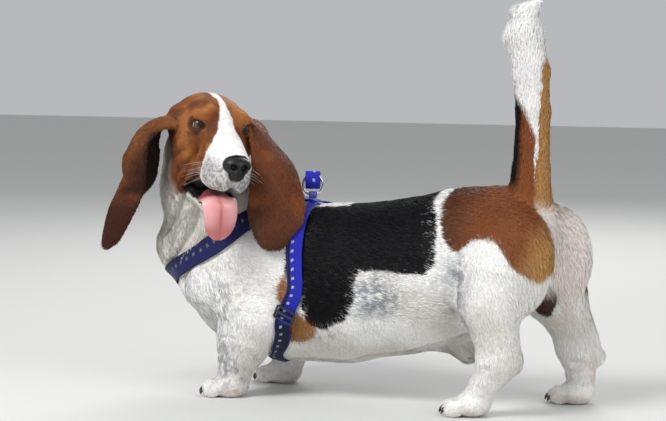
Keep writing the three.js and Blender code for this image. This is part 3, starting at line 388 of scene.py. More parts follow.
# %% [markdown]
# The head has axes of its own, because it is turned 43 degrees, dipped and tilted: f towards the nose, s
# towards the left ear and u towards the crown. A basset's skull is domed, its muzzle long and deep, and its
# flews hang below the mouth. Thin spheres round the eyeballs give the lids something to be cut from.

# %% Head axes
HEAD_AT = np.array([-186.0, -78.0, 455.0])
YAW, PITCH, ROLL = math.radians(43), math.radians(11), math.radians(6)
level = np.array([math.sin(YAW), -math.cos(YAW), 0])
across = np.array([math.cos(YAW), math.sin(YAW), 0])
raised = UP * math.cos(PITCH) + level * math.sin(PITCH)
HEAD_AXES = np.array([
    level * math.cos(PITCH) - UP * math.sin(PITCH),
    across * math.cos(ROLL) - raised * math.sin(ROLL),
    raised * math.cos(ROLL) + across * math.sin(ROLL),
])


def head_way(v):
    return np.asarray(v, float) @ HEAD_AXES


def on_head(at):
    return HEAD_AT + head_way(at)


def head_place(points):
    return (np.asarray(points) - HEAD_AT) @ HEAD_AXES.T


def head_egg(at, radii, blend=10.0):
    return egg(on_head(at), radii, blend, HEAD_AXES)


def head_limb(a, b, r1, r2, blend=10.0):
    return limb(on_head(a), on_head(b), r1, r2, blend)


print("head axes", np.round(HEAD_AXES, 2).tolist())

# %% Skull, muzzle and jaw
EYE_RADIUS = 11.5
LID_THICKNESS = 3
EYES = {"left": (42, 37, 10), "right": (42, -37, 10)}
skull = [head_egg((-22, 0, 1), (72, 62, 49), 16), head_egg((-74, 0, 10), (26, 26, 26), 20),
         head_egg((24, 0, 13), (46, 52, 33), 16)]
for side in (-1, 1):
    skull += [head_egg((4, side * 44, -24), (48, 24, 40), 16), head_egg((44, side * 33, 24), (17, 17, 10)),
              head_egg((-24, side * 56, 0), (30, 16, 24), 14)]
muzzle = [head_limb((40, 0, -8), (138, 2, -27), 33, 25, 18)]
jaw = [head_limb((0, 0, -82), (106, 0, -121), 34, 14, 14)]
for side in (-1, 1):
    muzzle += [head_egg((92, side * 21, -50), (58, 15, 34), 12),
               head_egg((130, 2 + side * 13, -50), (29, 17, 31)),
               head_egg((12, side * 42, -72), (42, 20, 44), 16)]
    jaw.append(head_limb((24, side * 26, -100), (103, side * 17, -116), 17, 12, 8))
jaw.append(head_egg((-10, 0, -82), (46, 46, 46), 24))
lids = [egg(on_head(at), [EYE_RADIUS + LID_THICKNESS] * 3, 6) for at in EYES.values()]

# %% Mouth and eye openings
MOUTH_TILT = math.radians(4)
MOUTH_AXES = np.array([
    head_way((math.cos(MOUTH_TILT), 0, -math.sin(MOUTH_TILT))), HEAD_AXES[1],
    head_way((math.sin(MOUTH_TILT), 0, math.cos(MOUTH_TILT))),
])
mouth_lens = egg(on_head((112, 0, -94)), (88, 62, 11.5), 4, MOUTH_AXES)
palate = head_limb((62, 0, -84), (128, 0, -86), 13, 17, 8)
GAZE_TURN = math.radians(25)


def gaze_axes(side):
    sign = 1 if side == "left" else -1
    ahead = head_way((math.cos(GAZE_TURN), sign * math.sin(GAZE_TURN), 0))
    over = np.cross(HEAD_AXES[2], ahead)
    return np.array([ahead, over, np.cross(ahead, over)])


def eye_opening(side):
    axes = gaze_axes(side)
    sign = 1 if side == "left" else -1
    droop = math.radians(9) * -sign
    across_eye = axes[1] * math.cos(droop) + axes[2] * math.sin(droop)
    up_eye = axes[2] * math.cos(droop) - axes[1] * math.sin(droop)
    return egg(on_head(EYES[side]) + axes[0] * 12, (12, 12.2, 8.2), 2.5, [axes[0], across_eye, up_eye])


eye_openings = [eye_opening(side) for side in EYES]


def nose_eggs(spare):
    return [head_egg((154, 3, -28), (16 + spare, 23 + spare, 15 + spare), 8),
            head_egg((156, 3, -42), (12 + spare, 12 + spare, 13 + spare), 10)]


nose_shapes, nose_room = nose_eggs(0), nose_eggs(0.4)
flesh = [*body, *tail, *skull, *muzzle, *jaw, *lids, hollow(mouth_lens), hollow(palate)]
flesh += [hollow(opening) for opening in eye_openings]
flesh += [hollow({**shape, "blend": 1.5}) for shape in nose_room]
print(len(flesh), "shapes of flesh")

# %% [markdown]
# An ear of this breed is a soft flap of leather, thin, folded lengthways near its root and cupped like a
# hand. It is written as a row of stations: the middle, half the width, how the way across turns and tilts,
# and how deep the cup is. A smooth curve through the stations gives a fine closed sheet. The right ear
# swings out as the head turns, and the left one lies on the shoulder.

# %% Curved sheets
def curve_through(rows, steps):
    rows = np.asarray(rows, float)
    last = len(rows) - 1
    t = np.linspace(0, last, steps + 1)
    i = np.minimum(t.astype(int), last - 1)
    h = (t - i)[:, None]
    a, b, c, d = (rows[np.clip(i + k, 0, last)] for k in (-1, 0, 1, 2))
    return b + 0.5 * h * (c - a + h * (2 * a - 5 * b + 4 * c - d + h * (3 * (b - c) + d - a)))


def sheet(rows, steps, count, thickness, push=None):
    stations = curve_through(rows, steps)
    middle = stations[:, :3]
    along = unit(np.roll(middle, -1, 0) - np.roll(middle, 1, 0))
    along[0], along[-1] = unit(middle[1] - middle[0]), unit(middle[-1] - middle[-2])
    turn, tilt = np.radians(stations[:, 4]), np.radians(stations[:, 5])
    level_way = np.stack([np.cos(turn), np.sin(turn), np.tan(tilt)], 1)
    side = unit(level_way - along * (level_way * along).sum(1, keepdims=True))
    out = unit(np.cross(side, along))
    q = np.linspace(-1, 1, count + 1)
    half, bow = stations[:, 3], stations[:, 6]
    grid = middle[:, None] + side[:, None] * (half[:, None] * q)[..., None]
    grid = grid + out[:, None] * (bow[:, None] * (1 - q * q))[..., None]
    down = np.gradient(grid, axis=0)
    over = np.gradient(grid, axis=1)
    normal = unit(np.cross(over, down))
    thick = thickness(np.linspace(0, 1, steps + 1)[:, None], q[None, :]) / 2
    faces = [grid + normal * thick[..., None], grid - normal * thick[..., None]]
    if push:
        faces = [push(face.reshape(-1, 3)).reshape(face.shape) for face in faces]
    return closed_sheet(*faces)


def closed_sheet(upper, under):
    steps, count = upper.shape[0] - 1, upper.shape[1] - 1
    index = np.arange((steps + 1) * (count + 1)).reshape(steps + 1, count + 1)
    top = np.stack([index[:-1, :-1], index[:-1, 1:], index[1:, 1:], index[1:, :-1]], -1).reshape(-1, 4)
    quads = [top, top[:, [0, 3, 2, 1]] + index.size]
    rim = np.concatenate([index[0, :], index[1:, -1], index[-1, -2::-1], index[-2:0:-1, 0]])
    rim_under = rim + index.size
    quads.append(np.stack([rim, rim_under, np.roll(rim_under, -1), np.roll(rim, -1)], -1))
    points = np.concatenate([upper.reshape(-1, 3), under.reshape(-1, 3)])
    return facing_out(points, np.concatenate(quads))


def ring_quads(index, closed=False):
    # Each row of the index is a ring of points. The last ring leads back to the first if closed.
    here, ahead = (index, np.roll(index, -1, 0)) if closed else (index[:-1], index[1:])
    return np.stack([here, np.roll(here, -1, 1), np.roll(ahead, -1, 1), ahead], -1).reshape(-1, 4)


def end_quads(row):
    # A ring with an even number of points is closed by quads between its two halves.
    one, other = row[:len(row) // 2], row[len(row) // 2:][::-1]
    return np.stack([one[:-1], one[1:], other[1:], other[:-1]], -1)


def facing_out(points, quads):
    a, b, c = (points[quads[:, k]] for k in (0, 1, 2))
    d = points[quads[:, -1]]
    volume = (np.cross(a, b) * c).sum() + (np.cross(a, c) * d).sum()
    return points, quads if volume > 0 else quads[:, ::-1]


# %% Ears
EAR_ROWS = {
    "right": [
        (-230, -104, 466, 27, 131, 15, 2), (-254, -122, 453, 30, 106, 10, 16),
        (-266, -133, 430, 32, 102, 6, 33), (-268, -136, 399, 30, 99, 0, 50),
        (-274, -136, 360, 27, 104, 2, 46), (-296, -133, 328, 24, 117, 9, 40),
        (-321, -130, 301, 23, 134, 14, 34), (-347, -127, 272, 22, 146, 13, 20),
        (-366, -126, 250, 10, 150, 9, 6),
    ],
    "left": [
        (-154, -30, 462, 27, 135, 15, 0), (-126, -38, 450, 36, 117, 11, -4),
        (-103, -51, 422, 36, 86, 5, -10), (-79, -67, 385, 38, 52, 6, -15),
        (-68, -81, 355, 43, 38, 5, -16), (-61, -93, 324, 47, 25, 2, -15),
        (-58, -102, 295, 43, 20, 3, -12), (-58, -109, 270, 29, 20, 0, -8),
        (-57, -112, 256, 11, 22, 0, -3),
    ],
}
EAR_CLEARANCE = 8


def clear_of_shoulder(points):
    close = (points[:, 2] < 430) & (field_at(body, points) < EAR_CLEARANCE)
    if close.any():
        points[close] = settle(body, points[close], EAR_CLEARANCE, 12, 4)
    return points


def ear_thickness(t, q):
    return (4.6 + 4 * np.maximum(0, 1 - 4 * t)) * (1 - 0.3 * q * q)


ears = {
    "left": sheet(EAR_ROWS["left"], 90, 40, ear_thickness, clear_of_shoulder),
    "right": sheet(EAR_ROWS["right"], 90, 40, ear_thickness),
}
print("ear sheets", [len(points) for points, _ in ears.values()])

# %% [markdown]
# The skin could be modelled by hand or by subdivision, but the field gives it in one piece: it is laid on a
# grid, the ears are joined in with a soft blend so that they grow from the head, and a surface is drawn
# through it a coat's depth inside the solids. No seam can show, because there is only one surface.

# %% The grid
CELL = 2.3
COAT_DEPTH = 1.2
GRID_LOW = np.array([-384.0, -218.0, -9.0])
GRID_HIGH = np.array([462.0, 146.0, 676.0])
SOLE_LEVEL = np.float32(0.25)
OPEN_AIR = 60.0
grid_size = np.ceil((GRID_HIGH - GRID_LOW) / CELL).astype(int) + 1
grid = np.full(grid_size, OPEN_AIR, np.float32)
ticks = [(GRID_LOW[i] + np.arange(n) * CELL).astype(np.float32) for i, n in enumerate(grid_size)]
for shape in flesh:
    reach = shape["blend"] + 3 * CELL
    first = np.maximum(0, np.floor((shape["low"] - reach - GRID_LOW) / CELL)).astype(int)
    last = np.ceil((shape["high"] + reach - GRID_LOW) / CELL).astype(int) + 1
    last = np.minimum(grid_size, last)
    zone = tuple(slice(a, b) for a, b in zip(first, last))
    x, y, z = (ticks[i][zone[i]] for i in range(3))
    value = shape["distance"](x[:, None, None], y[None, :, None], z[None, None, :])
    grid[zone] = join(grid[zone], shape, value.astype(np.float32))
grid += COAT_DEPTH
grid = np.maximum(grid, (SOLE_LEVEL - ticks[2])[None, None, :])
print("grid", grid.shape, clock())

# %% Ears into the grid
EAR_BAND = 5
EAR_BLEND = 9.0
EAR_FREE = 8
ear_grid = np.full(grid_size, EAR_BAND * CELL, np.float32)
for points, quads in ears.values():
    placed = ((points - GRID_LOW) / CELL).astype(np.float32)
    level_set = openvdb.FloatGrid.createLevelSetFromPolygons(
        placed, quads=quads.astype(np.uint32), transform=openvdb.createLinearTransform(1.0),
        halfWidth=EAR_BAND,
    )
    one = np.full(grid_size, EAR_BAND, np.float32)
    level_set.copyToArray(one)
    ear_grid = np.minimum(ear_grid, one * CELL)
grid = smooth_least(grid, ear_grid, EAR_BLEND)
print("with ears", clock())

# %% The skin's surface
volume = openvdb.FloatGrid(OPEN_AIR)
volume.copyFromArray(np.clip(grid / CELL, -3, 3).astype(np.float32))
points, quads = volume.convertToQuads(0.0)
points = np.asarray(points, float) * CELL + GRID_LOW
points, quads = facing_out(points, np.asarray(quads))
print("skin", len(points), "points", len(quads), "quads", clock())

# %% [markdown]
# The face is where people look first, so its part of the surface is divided once more. The new points are
# then settled on the field itself, which keeps the rims of the eyes, nose and lips crisp.

# %% A finer face
FACE_CENTRE = on_head((78, 0, -38))
FACE_REACH = 92


def split_zone(points, quads, chosen):
    # Chosen quads become four, and their neighbours fan out to the new edge points, so nothing opens.
    edges = np.sort(np.stack([quads, np.roll(quads, -1, 1)], -1).reshape(-1, 2), 1)
    keys, inverse = np.unique(edges, axis=0, return_inverse=True)
    inverse = inverse.reshape(-1, 4)
    cut = np.zeros(len(keys), bool)
    cut[inverse[chosen].ravel()] = True
    number_of = np.full(len(keys), -1)
    number_of[cut] = len(points) + np.arange(cut.sum())
    middles = points[keys[cut]].mean(1)
    centres = points[quads[chosen]].mean(1)
    centre_ids = len(points) + len(middles) + np.arange(len(centres))
    mids = number_of[inverse]
    small = []
    for k in range(4):
        corner = quads[chosen, k]
        small.append(np.stack([corner, mids[chosen, k], centre_ids, mids[chosen, k - 1]], -1))
    fans = []
    border = ~chosen & (mids >= 0).any(1)
    for quad, mid in zip(quads[border], mids[border]):
        ring = [v for corner, m in zip(quad, mid) for v in (corner, m) if v >= 0]
        turn = 1 if len(ring) % 2 and ring[1] in mid else 0
        ring = ring[turn:] + ring[:turn]
        fans += [(ring[0], ring[i], ring[i + 1]) for i in range(1, len(ring) - 1)]
    plain = quads[~chosen & ~border]
    points = np.concatenate([points, middles, centres])
    return points, np.concatenate([plain, *small]), np.array(fans, int).reshape(-1, 3)


fine = np.linalg.norm(points[quads].mean(1) - FACE_CENTRE, axis=1) < FACE_REACH
points, quads, fans = split_zone(points, quads, fine)
near_face = np.linalg.norm(points - FACE_CENTRE, axis=1) < FACE_REACH + CELL


def sample(field, places):
    p = (np.asarray(places) - GRID_LOW) / CELL
    i = np.clip(p.astype(int), 0, np.array(field.shape) - 2)
    t = p - i
    total = 0.0
    for corner in np.ndindex(2, 2, 2):
        weight = np.prod(np.where(corner, t, 1 - t), axis=1)
        total = total + weight * field[tuple((i + corner).T)]
    return total


near_face &= sample(ear_grid, points) > EAR_BLEND + 1
points[near_face] = settle(flesh, points[near_face], -COAT_DEPTH, 1.5, 3)
triangles = np.concatenate([quads[:, [0, 1, 2]], quads[:, [0, 2, 3]], fans])
print("face points", int(near_face.sum()), "triangles", len(triangles), clock())

# %% [markdown]
# A basset has more skin than it needs. It hangs in folds on the cheeks and under the throat, and wrinkles
# over the wrists and hocks. Each fold is a line on the body. Skin near the line sinks along its normal and
# rises a little on both sides, so the crease has the soft shoulders of real skin.

# %% Normals, and distance from a line
def corner_normals(points, triangles):
    a, b, c = (points[triangles[:, k]] for k in range(3))
    face = np.cross(b - a, c - a)
    total = np.zeros_like(points)
    for k in range(3):
        for axis in range(3):
            total[:, axis] += np.bincount(triangles[:, k], face[:, axis], len(points))
    return unit(total)


def smooth_line(line, parts=6):
    return curve_through(line, (len(line) - 1) * parts)


def away_from_line(places, line):
    away = np.full(len(places), 1e6)
    for a, b in zip(line, line[1:]):
        edge = b - a
        t = np.clip((places - a) @ edge / (edge @ edge), 0, 1)
        away = np.minimum(away, np.linalg.norm(places - a - t[:, None] * edge, axis=1))
    return away


print("the skin's normals point out, and folds sink against them")

# %% Folds
HEAD_FOLDS = [
    ([(76, 34, -24), (51, 45, -53), (34, 57, -74), (27, 57, -95), (26, 50, -112)], 4.6, 4.6),
    ([(60, 35, -46), (51, 47, -67), (46, 51, -88)], 3.6, 3.4),
    ([(40, 54, -34), (16, 66, -56), (4, 68, -88)], 5, 3.4),
    ([(60, 37, -2), (52, 45, -10), (38, 53, -7)], 2.6, 1.3),
    ([(57, 22, 20), (52, 34, 27), (38, 45, 25)], 2.8, 1.4),
    ([(60, 9, 34), (44, 16, 46), (26, 22, 54)], 4, 1.2),
]
BODY_FOLDS = [
    ([(-206, -99, 244), (-219, -108, 217), (-228, -104, 196)], 7, 3.5),
    ([(-196, -110, 316), (-206, -106, 290), (-236, -96, 254), (-264, -87, 223)], 7, 6),
    ([(-214, -122, 345), (-222, -118, 332), (-242, -99, 293), (-262, -90, 250)], 6, 6),
    ([(-232, -112, 336), (-252, -96, 300), (-272, -78, 262)], 6, 4.5),
    ([(-232, 20, 330), (-256, 26, 280), (-272, 20, 236)], 7, 3.5),
    ([(-226, -6, 344), (-262, -8, 300), (-284, -10, 250)], 7, 3),
    ([(226, -84, 210), (240, -76, 170), (262, -72, 140)], 9, 4),
    ([(290, 84, 210), (300, 76, 170), (316, 72, 140)], 9, 4),
]
WRIST_FOLDS = [
    ("front_left", (8, 66), (10, 52)), ("front_right", (8, 68), (10, 53)),
    ("hind_left", (24, 62), (30, 78)), ("hind_right", (20, 58), (24, 72)),
]
folds = []
for line, width, depth in HEAD_FOLDS:
    for side in (-1, 1):
        turned = [on_head((f, side * s, u)) for f, s, u in line]
        folds.append((smooth_line(turned), width, depth))
folds += [(smooth_line(line), width, depth) for line, width, depth in BODY_FOLDS]
for name, *rings in WRIST_FOLDS:
    at, side = PAWS[name]
    for k, (ahead, height) in enumerate(rings):
        turns = np.radians(np.linspace(-100, 100, 13))
        ring = [(at[0] + ahead - 34 * math.cos(t), at[1] + 34 * math.sin(t), height + 5 * math.cos(t + k))
                for t in turns]
        folds.append((np.array(ring), 4.5, 2.2))
skin_normals = corner_normals(points, triangles)
for line, width, depth in folds:
    near = ((points > line.min(0) - 4 * width) & (points < line.max(0) + 4 * width)).all(1)
    near &= sample(ear_grid, points) > EAR_FREE
    away = away_from_line(points[near], line) / width
    rise = 0.5 * np.exp(-((away - 2.1) ** 2)) - np.exp(-(away**2))
    points[near] += skin_normals[near] * (depth * rise)[:, None]
skin_normals = corner_normals(points, triangles)
print(len(folds), "folds", clock())

# %% [markdown]
# This hound is a tricolour: white with a black saddle, a brown rump and head, and grey ticking. The markings
# could be painted on an image, but a few outlines in x and z do it here, one for each side. Value noise
# frays their edges, because hairs of two colours interleave there. The same function colours skin and
# hair, so that they always agree.

# %% Noise and outlines
def noise(places, size, seed):
    lattice = np.random.default_rng(seed).random((32, 32, 32))
    p = np.asarray(places) / size
    i = np.floor(p).astype(int)
    t = p - i
    t = t * t * (3 - 2 * t)
    total = 0.0
    for corner in np.ndindex(2, 2, 2):
        weight = np.prod(np.where(corner, t, 1 - t), axis=1)
        total = total + weight * lattice[tuple(((i + corner) % 32).T)]
    return total


def inside(outline, a, b):
    outline = np.array(outline, float)
    p = np.stack([a, b], -1)
    away = np.full(len(p), 1e6)
    odd = np.zeros(len(p), bool)
    for start, end in zip(outline, np.roll(outline, -1, 0)):
        edge = end - start
        t = np.clip((p - start) @ edge / (edge @ edge), 0, 1)
        away = np.minimum(away, np.linalg.norm(p - start - t[:, None] * edge, axis=1))
        crosses = (start[1] > b) != (end[1] > b)
        slope = (end[0] - start[0]) / (end[1] - start[1] if end[1] != start[1] else 1e-9)
        odd ^= crosses & (a < start[0] + slope * (b - start[1]))
    return np.where(odd, away, -away)


def soft(distance, width=2.0):
    return np.clip(0.5 + distance / width, 0, 1)


def over(base, colour, amount):
    amount = np.asarray(amount)[..., None]
    return base * (1 - amount) + np.asarray(colour) * amount


def between(value, low, high):
    t = np.clip((value - low) / (high - low), 0, 1)
    return t * t * (3 - 2 * t)


# %% Colours and outlines of the markings
WHITE = np.array([0.87, 0.86, 0.84])
CREAM = np.array([0.56, 0.52, 0.44])
BLACK = np.array([0.0030, 0.0030, 0.0040])
BROWN = np.array([0.20, 0.062, 0.020])
DARK_BROWN = np.array([0.060, 0.020, 0.011])
EAR_BROWN = np.array([0.135, 0.042, 0.019])
EAR_HOLLOW_SHADE = np.array([0.014, 0.006, 0.005])
GOLD = np.array([0.47, 0.245, 0.085])
ORANGE = np.array([0.34, 0.125, 0.033])
SLATE = np.array([0.20, 0.225, 0.27])
PINK = np.array([0.60, 0.40, 0.34])
DARK_SKIN = np.array([0.055, 0.026, 0.020])
BARE_SKIN = np.array([0.30, 0.245, 0.20])
MOUTH_DARK = np.array([0.004, 0.003, 0.004])
SADDLE = {
    -1: [(-20, 420), (-26, 330), (-44, 262), (-46, 218), (-24, 190), (-14, 160), (-6, 135), (27, 128),
         (61, 145), (76, 178), (78, 205), (84, 226), (128, 230), (163, 224), (197, 224), (216, 246),
         (214, 288), (208, 319), (194, 342), (196, 420)],
    1: [(-12, 420), (-10, 330), (-34, 270), (-30, 222), (-8, 186), (24, 150), (66, 136), (104, 158),
        (132, 192), (166, 208), (188, 236), (186, 286), (196, 322), (194, 342), (196, 420)],
}
RUMP = {
    -1: [(232, 420), (214, 341), (216, 319), (224, 289), (243, 266), (257, 262), (281, 282), (295, 289),
         (317, 288), (331, 279), (346, 260), (354, 249), (374, 233), (392, 224), (406, 238), (408, 262),
         (404, 284), (392, 312), (376, 336), (380, 420)],
    1: [(232, 420), (222, 345), (232, 312), (262, 286), (292, 262), (330, 256), (372, 214), (404, 186),
        (424, 196), (420, 262), (404, 300), (380, 336), (380, 420)],
}
TAN_BEHIND = [(-48, 120), (-37, 141), (-21, 153), (-2, 138), (12, 128), (2, 112), (-24, 101), (-46, 101)]
TAN_AHEAD = [(-46, 216), (-32, 190), (-36, 172), (-49, 160), (-60, 172), (-60, 196)]
BLAZE_EDGES = {
    "f": [-56, -40, -14, 14, 44, 58, 72, 84, 93, 110],
    "low": [2, -3, -5, -2, -6, -9, -11, -17, -24, -60],
    "high": [4, 7, 9, 7, 6, 9, 14, 19, 26, 60],
}
MUZZLE_WHITE = [
    (93, 60), (93, -3), (89, -25), (88, -49), (77, -62), (66, -74), (62, -92), (46, -106), (20, -120),
    (-14, -118), (-46, -92), (-90, -76), (-200, -70), (-200, -400), (400, -400), (400, 60),
]
BROW_SPOTS = [(40, -20, 43), (50, -31, 37), (50, 21, 38)]
EAR_LEFT_FROM, EAR_RIGHT_TO = -182, -214
TAIL_BORDER = {"ahead": [-1, 0, 0.38, 0.50, 0.62, 0.78, 1], "height": [508, 474, 446, 372, 470, 540, 562]}

# %% Specks, soft spots and layers
SPECKS = [(3.2, 0.78, 11), (6.5, 0.72, 12)]


def specks(places, amount):
    spread = 0.0
    for size, level, seed in SPECKS:
        value = noise(places, size, seed)
        spread = np.maximum(spread, between(value, level - 0.22 * amount, level + 0.08 - 0.22 * amount))
    return spread * np.clip(amount, 0, 1)


def blob(places, centre, radii):
    return np.exp(-(((places - np.array(centre)) / np.array(radii)) ** 2).sum(1))


def painted(colour, *layers):
    for tint, amount in layers:
        colour = over(colour, tint, amount)
    return colour


print(len(SPECKS), "sizes of specks")

# %% [markdown]
# Each marking is a layer over the last one: a tint, and how much of it shows at each place. On the body the
# white ground comes first, then grey ticking in patches, pink where the hair is thin, and last the saddle,
# the rump and the tan marks inside their outlines.

# %% Markings of the body
def body_colour(places):
    x, y, z = places.T

    def near(*centre_and_radii):
        return blob(places, centre_and_radii[:3], centre_and_radii[3:])

    flank = 1.25 * near(112, -100, 185, 52, 70, 36) + 0.5 * near(10, -90, 118, 60, 60, 20)
    thigh = near(262, -96, 232, 26, 40, 34) + 0.6 * near(275, -100, 165, 26, 30, 40)
    chest = 0.8 * near(-160, -95, 175, 60, 60, 60) + near(-150, -80, 62, 50, 60, 70)
    far = near(40, 100, 120, 80, 70, 50) + 0.7 * near(-130, 90, 120, 60, 50, 90)
    patches = between(noise(places, 19, 6) + 0.5 * noise(places, 9, 7), 0.62, 1.05)
    blue_grey = patches * np.clip(flank + thigh + 0.35 * chest + far, 0, 1)
    rear = between(x, 372, 398) * between(np.abs(y), 62, 40) * between(z, 120, 160)
    colour = painted(
        np.tile(WHITE, (len(places), 1)),
        (CREAM, 0.55 * between(noise(places, 46, 5), 0.35, 0.9) * between(z, 330, 120)),
        (CREAM, 0.6 * between(x, -150, -215) * between(z, 200, 240)),
        (SLATE, 0.5 * blue_grey),
        (SLATE * 0.8, 0.75 * specks(places, np.clip(flank + thigh + chest + far, 0, 1))),
        (PINK, 0.35 * rear),
        (PINK, 0.4 * near(430, 84, 70, 16, 30, 26)),
        (PINK, 0.35 * between(z, 30, 8) * between(noise(places, 12, 31), 0.4, 0.7)),
    )
    brown = painted(BROWN[None], (DARK_BROWN, 0.75 * between(x, 300, 225)),
                    (GOLD, between(x - (z - 260) * 0.25, 350, 396)))
    outer = {-1: np.where(x > 366, soft(-38 - y, 5), 1.0),
             1: np.clip(soft(y - 66, 8) * between(x, 330, 350) + soft(350 - x, 8), 0, 1)}
    for side in (-1, 1):
        here = np.where(y * side > 0, 1.0, 0.0)
        colour = painted(colour, (BLACK, here * soft(inside(SADDLE[side], x, z), 3)),
                         (brown, here * outer[side] * soft(inside(RUMP[side], x, z), 4)))
    ridge = np.where(np.abs(y) < 24 - 0.10 * np.abs(x - 8), 1.0, 0.0) * between(z, 300, 306)
    colour = over(colour, WHITE, ridge * between(x, 36, 28))
    left = np.where(y < 0, 1.0, 0.0)
    for outline in (TAN_BEHIND, TAN_AHEAD):
        colour = over(colour, over(BROWN[None], GOLD, 0.35), left * soft(inside(outline, x, z), 7))
    sheath = limb((214, 0, 104), (242, 0, 88), 26, 20)["distance"](x, y, z)
    under_tail = np.linalg.norm(places - (374, -6, 180), axis=1)
    return painted(colour, (DARK_SKIN, soft(26 - under_tail, 12)), (BARE_SKIN, 0.8 * soft(-sheath, 16)))


print("body: white, black and brown")

# %% [markdown]
# The tail is black in front, brown at the sides and gold behind, up to a border that steps round it. Above
# that it is white. It takes over from the rump where its own field is the nearer one.

# %% Markings of the tail
TAIL_FROM_X = 270
TAIL_ROOT, TAIL_FREE = 300, 420


def tail_colour(places):
    x, y, z = places.T
    stations = np.array(TAIL_STATIONS, float)
    middle = np.interp(z, stations[:, 2], stations[:, 0])
    radius = np.interp(z, stations[:, 2], stations[:, 3])
    ahead = (x - middle) / radius
    border = np.interp(ahead, TAIL_BORDER["ahead"], TAIL_BORDER["height"])
    dark = painted(BROWN[None] * 1.1, (BLACK, between(ahead, -0.1, -0.62) * between(z, 345, 372)),
                   (GOLD, between(ahead, 0.40, 0.72)))
    return over(WHITE[None], dark, soft(border - z, 16))


def tail_share(places):
    behind = places[:, 0] > TAIL_FROM_X
    share = np.where(behind & (places[:, 2] > TAIL_FREE), 1.0, 0.0)
    near = behind & (places[:, 2] > TAIL_ROOT) & (places[:, 2] <= TAIL_FREE)
    nearer = field_at(trunk, places[near]) - field_at(tail, places[near])
    share[near] = between(nearer, -8, 12)
    return share


print("tail: white above", min(TAIL_BORDER["height"]), "to", max(TAIL_BORDER["height"]), "mm")

# %% [markdown]
# The head is brown, lighter on brows and cheeks, darker round the eyes and towards the back below the crown,
# with painted shade on the cheeks just under the ears' roots. A white blaze runs down between the eyes and
# widens over the muzzle, which is speckled. The edge of the mouth is black.

# %% Markings of the head
def head_colour(places):
    place = head_place(places)
    f, s, u = place.T
    folded = np.stack([f, np.abs(s), u], 1)
    colour = painted(
        BROWN[None],
        (ORANGE, 0.85 * between(noise(places, 24, 8), 0.45, 0.8)),
        (DARK_BROWN, 0.8 * between(f, 20, -22) * between(u, 30, -10)),
        (DARK_BROWN, 0.55 * between(noise(places, 17, 9), 0.55, 0.75)),
        (ORANGE * 1.25, 0.8 * between(s, -2, 26) * between(u, 4, 26)),
        *((ORANGE * 1.35, 0.9 * blob(place, centre, (9, 7, 7))) for centre in BROW_SPOTS),
        (ORANGE * 1.15, 0.7 * blob(folded, (56, 40, -28), (26, 16, 14))),
        # Painted shade on each cheek where the ear hangs over it.
        (DARK_BROWN * 0.6, 0.8 * blob(folded, (4, 66, -4), (16, 12, 20))),
        *((DARK_BROWN * 0.5, 0.85 * between(np.linalg.norm(place - at, axis=1), 19, 14.5))
          for at in EYES.values()),
    )
    low = np.interp(f, BLAZE_EDGES["f"], BLAZE_EDGES["low"])
    high = np.interp(f, BLAZE_EDGES["f"], BLAZE_EDGES["high"])
    strip = np.where((f > -56) & (u > -40), np.minimum(s - low, high - s), -20)
    white = np.maximum(soft(strip, 2.4), soft(inside(MUZZLE_WHITE, f, u), 4))
    muzzle_specks = between(f, 84, 100) * between(u, -14, -40) * between(u, -110, -80)
    pale = painted(
        WHITE[None],
        (CREAM, 0.75 * between(u, -70, -120)),
        (PINK, 0.25 * between(noise(places, 13, 10), 0.5, 0.8) * between(u, -60, -20)),
        ((0.12, 0.11, 0.11), 0.7 * specks(places * 1.7, 0.9 * muzzle_specks)),
        ((0.16, 0.145, 0.14), 0.35 * muzzle_specks),
    )
    return painted(colour, (pale, white), (MOUTH_DARK, mouth_edge(places)))


def mouth_edge(places):
    lens = mouth_lens["distance"](*places.T)
    ahead, _, height = head_place(places).T
    lower = between(height, -92, -97) * between(ahead, 108, 92)
    return between(lens - 4.5 * lower, 3.6, 1.6) * between(ahead, 20, 30)


print("head: blaze", len(BLAZE_EDGES["f"]), "points long")

# %% [markdown]
# The ears are the darkest brown. Painted light brightens the upper part of each ear, and painted shade
# darkens the right ear's hanging lower end and, most of all, its inner face towards the head. Then one
# function puts the parts together for any places on the hound: it frays the markings' edges, picks the part
# by its field, and darkens the folds with painted shade.

# %% Markings of the ears, and the whole coat
EAR_FRINGE = (5.5, 1.5)
HEAD_BEFORE_X, HEAD_ABOVE, HEAD_BLEND = 60, 220, 26
head_shapes = [*skull, *muzzle, *jaw, *lids]
trunk_and_neck = [*trunk, *neck]


def ear_colour(places, side, out):
    x, y, z = places.T
    colour = over(EAR_BROWN[None], BROWN, between(noise(places, 26, 13), 0.4, 0.75))
    if side == "left":
        # Painted light brightens the upper left ear near its root; lower down the ear is darker towards its
        # tip and greyer.
        return painted(
            colour,
            (ORANGE, 0.75 * between(z, 380, 420) * between(x, -96, -140)),
            (DARK_BROWN * 1.3, 0.75 * between(z, 330, 262)),
            ((0.075, 0.045, 0.036), 0.6 * between(x, -60, -96) * between(z, 360, 300)),
        )
    # Painted shade: the right ear's inner face, where it turns towards the head, is darkened almost to black.
    inner_shade = between(out @ [0.85, -0.5, 0], 0.12, 0.5) * between(z, 336, 356)
    # Painted light brightens the upper right ear, and painted shade darkens its hanging lower end.
    return painted(
        colour,
        (ORANGE * 0.8, 0.55 * between(z, 380, 440)),
        (DARK_BROWN, between(z, 360, 318)),
        (EAR_HOLLOW_SHADE, 0.93 * inner_shade * between(z, 462, 444)),
    )


def frayed(places, amount, size, seeds):
    return amount * np.stack([noise(places, size, seed) - 0.5 for seed in seeds], 1)


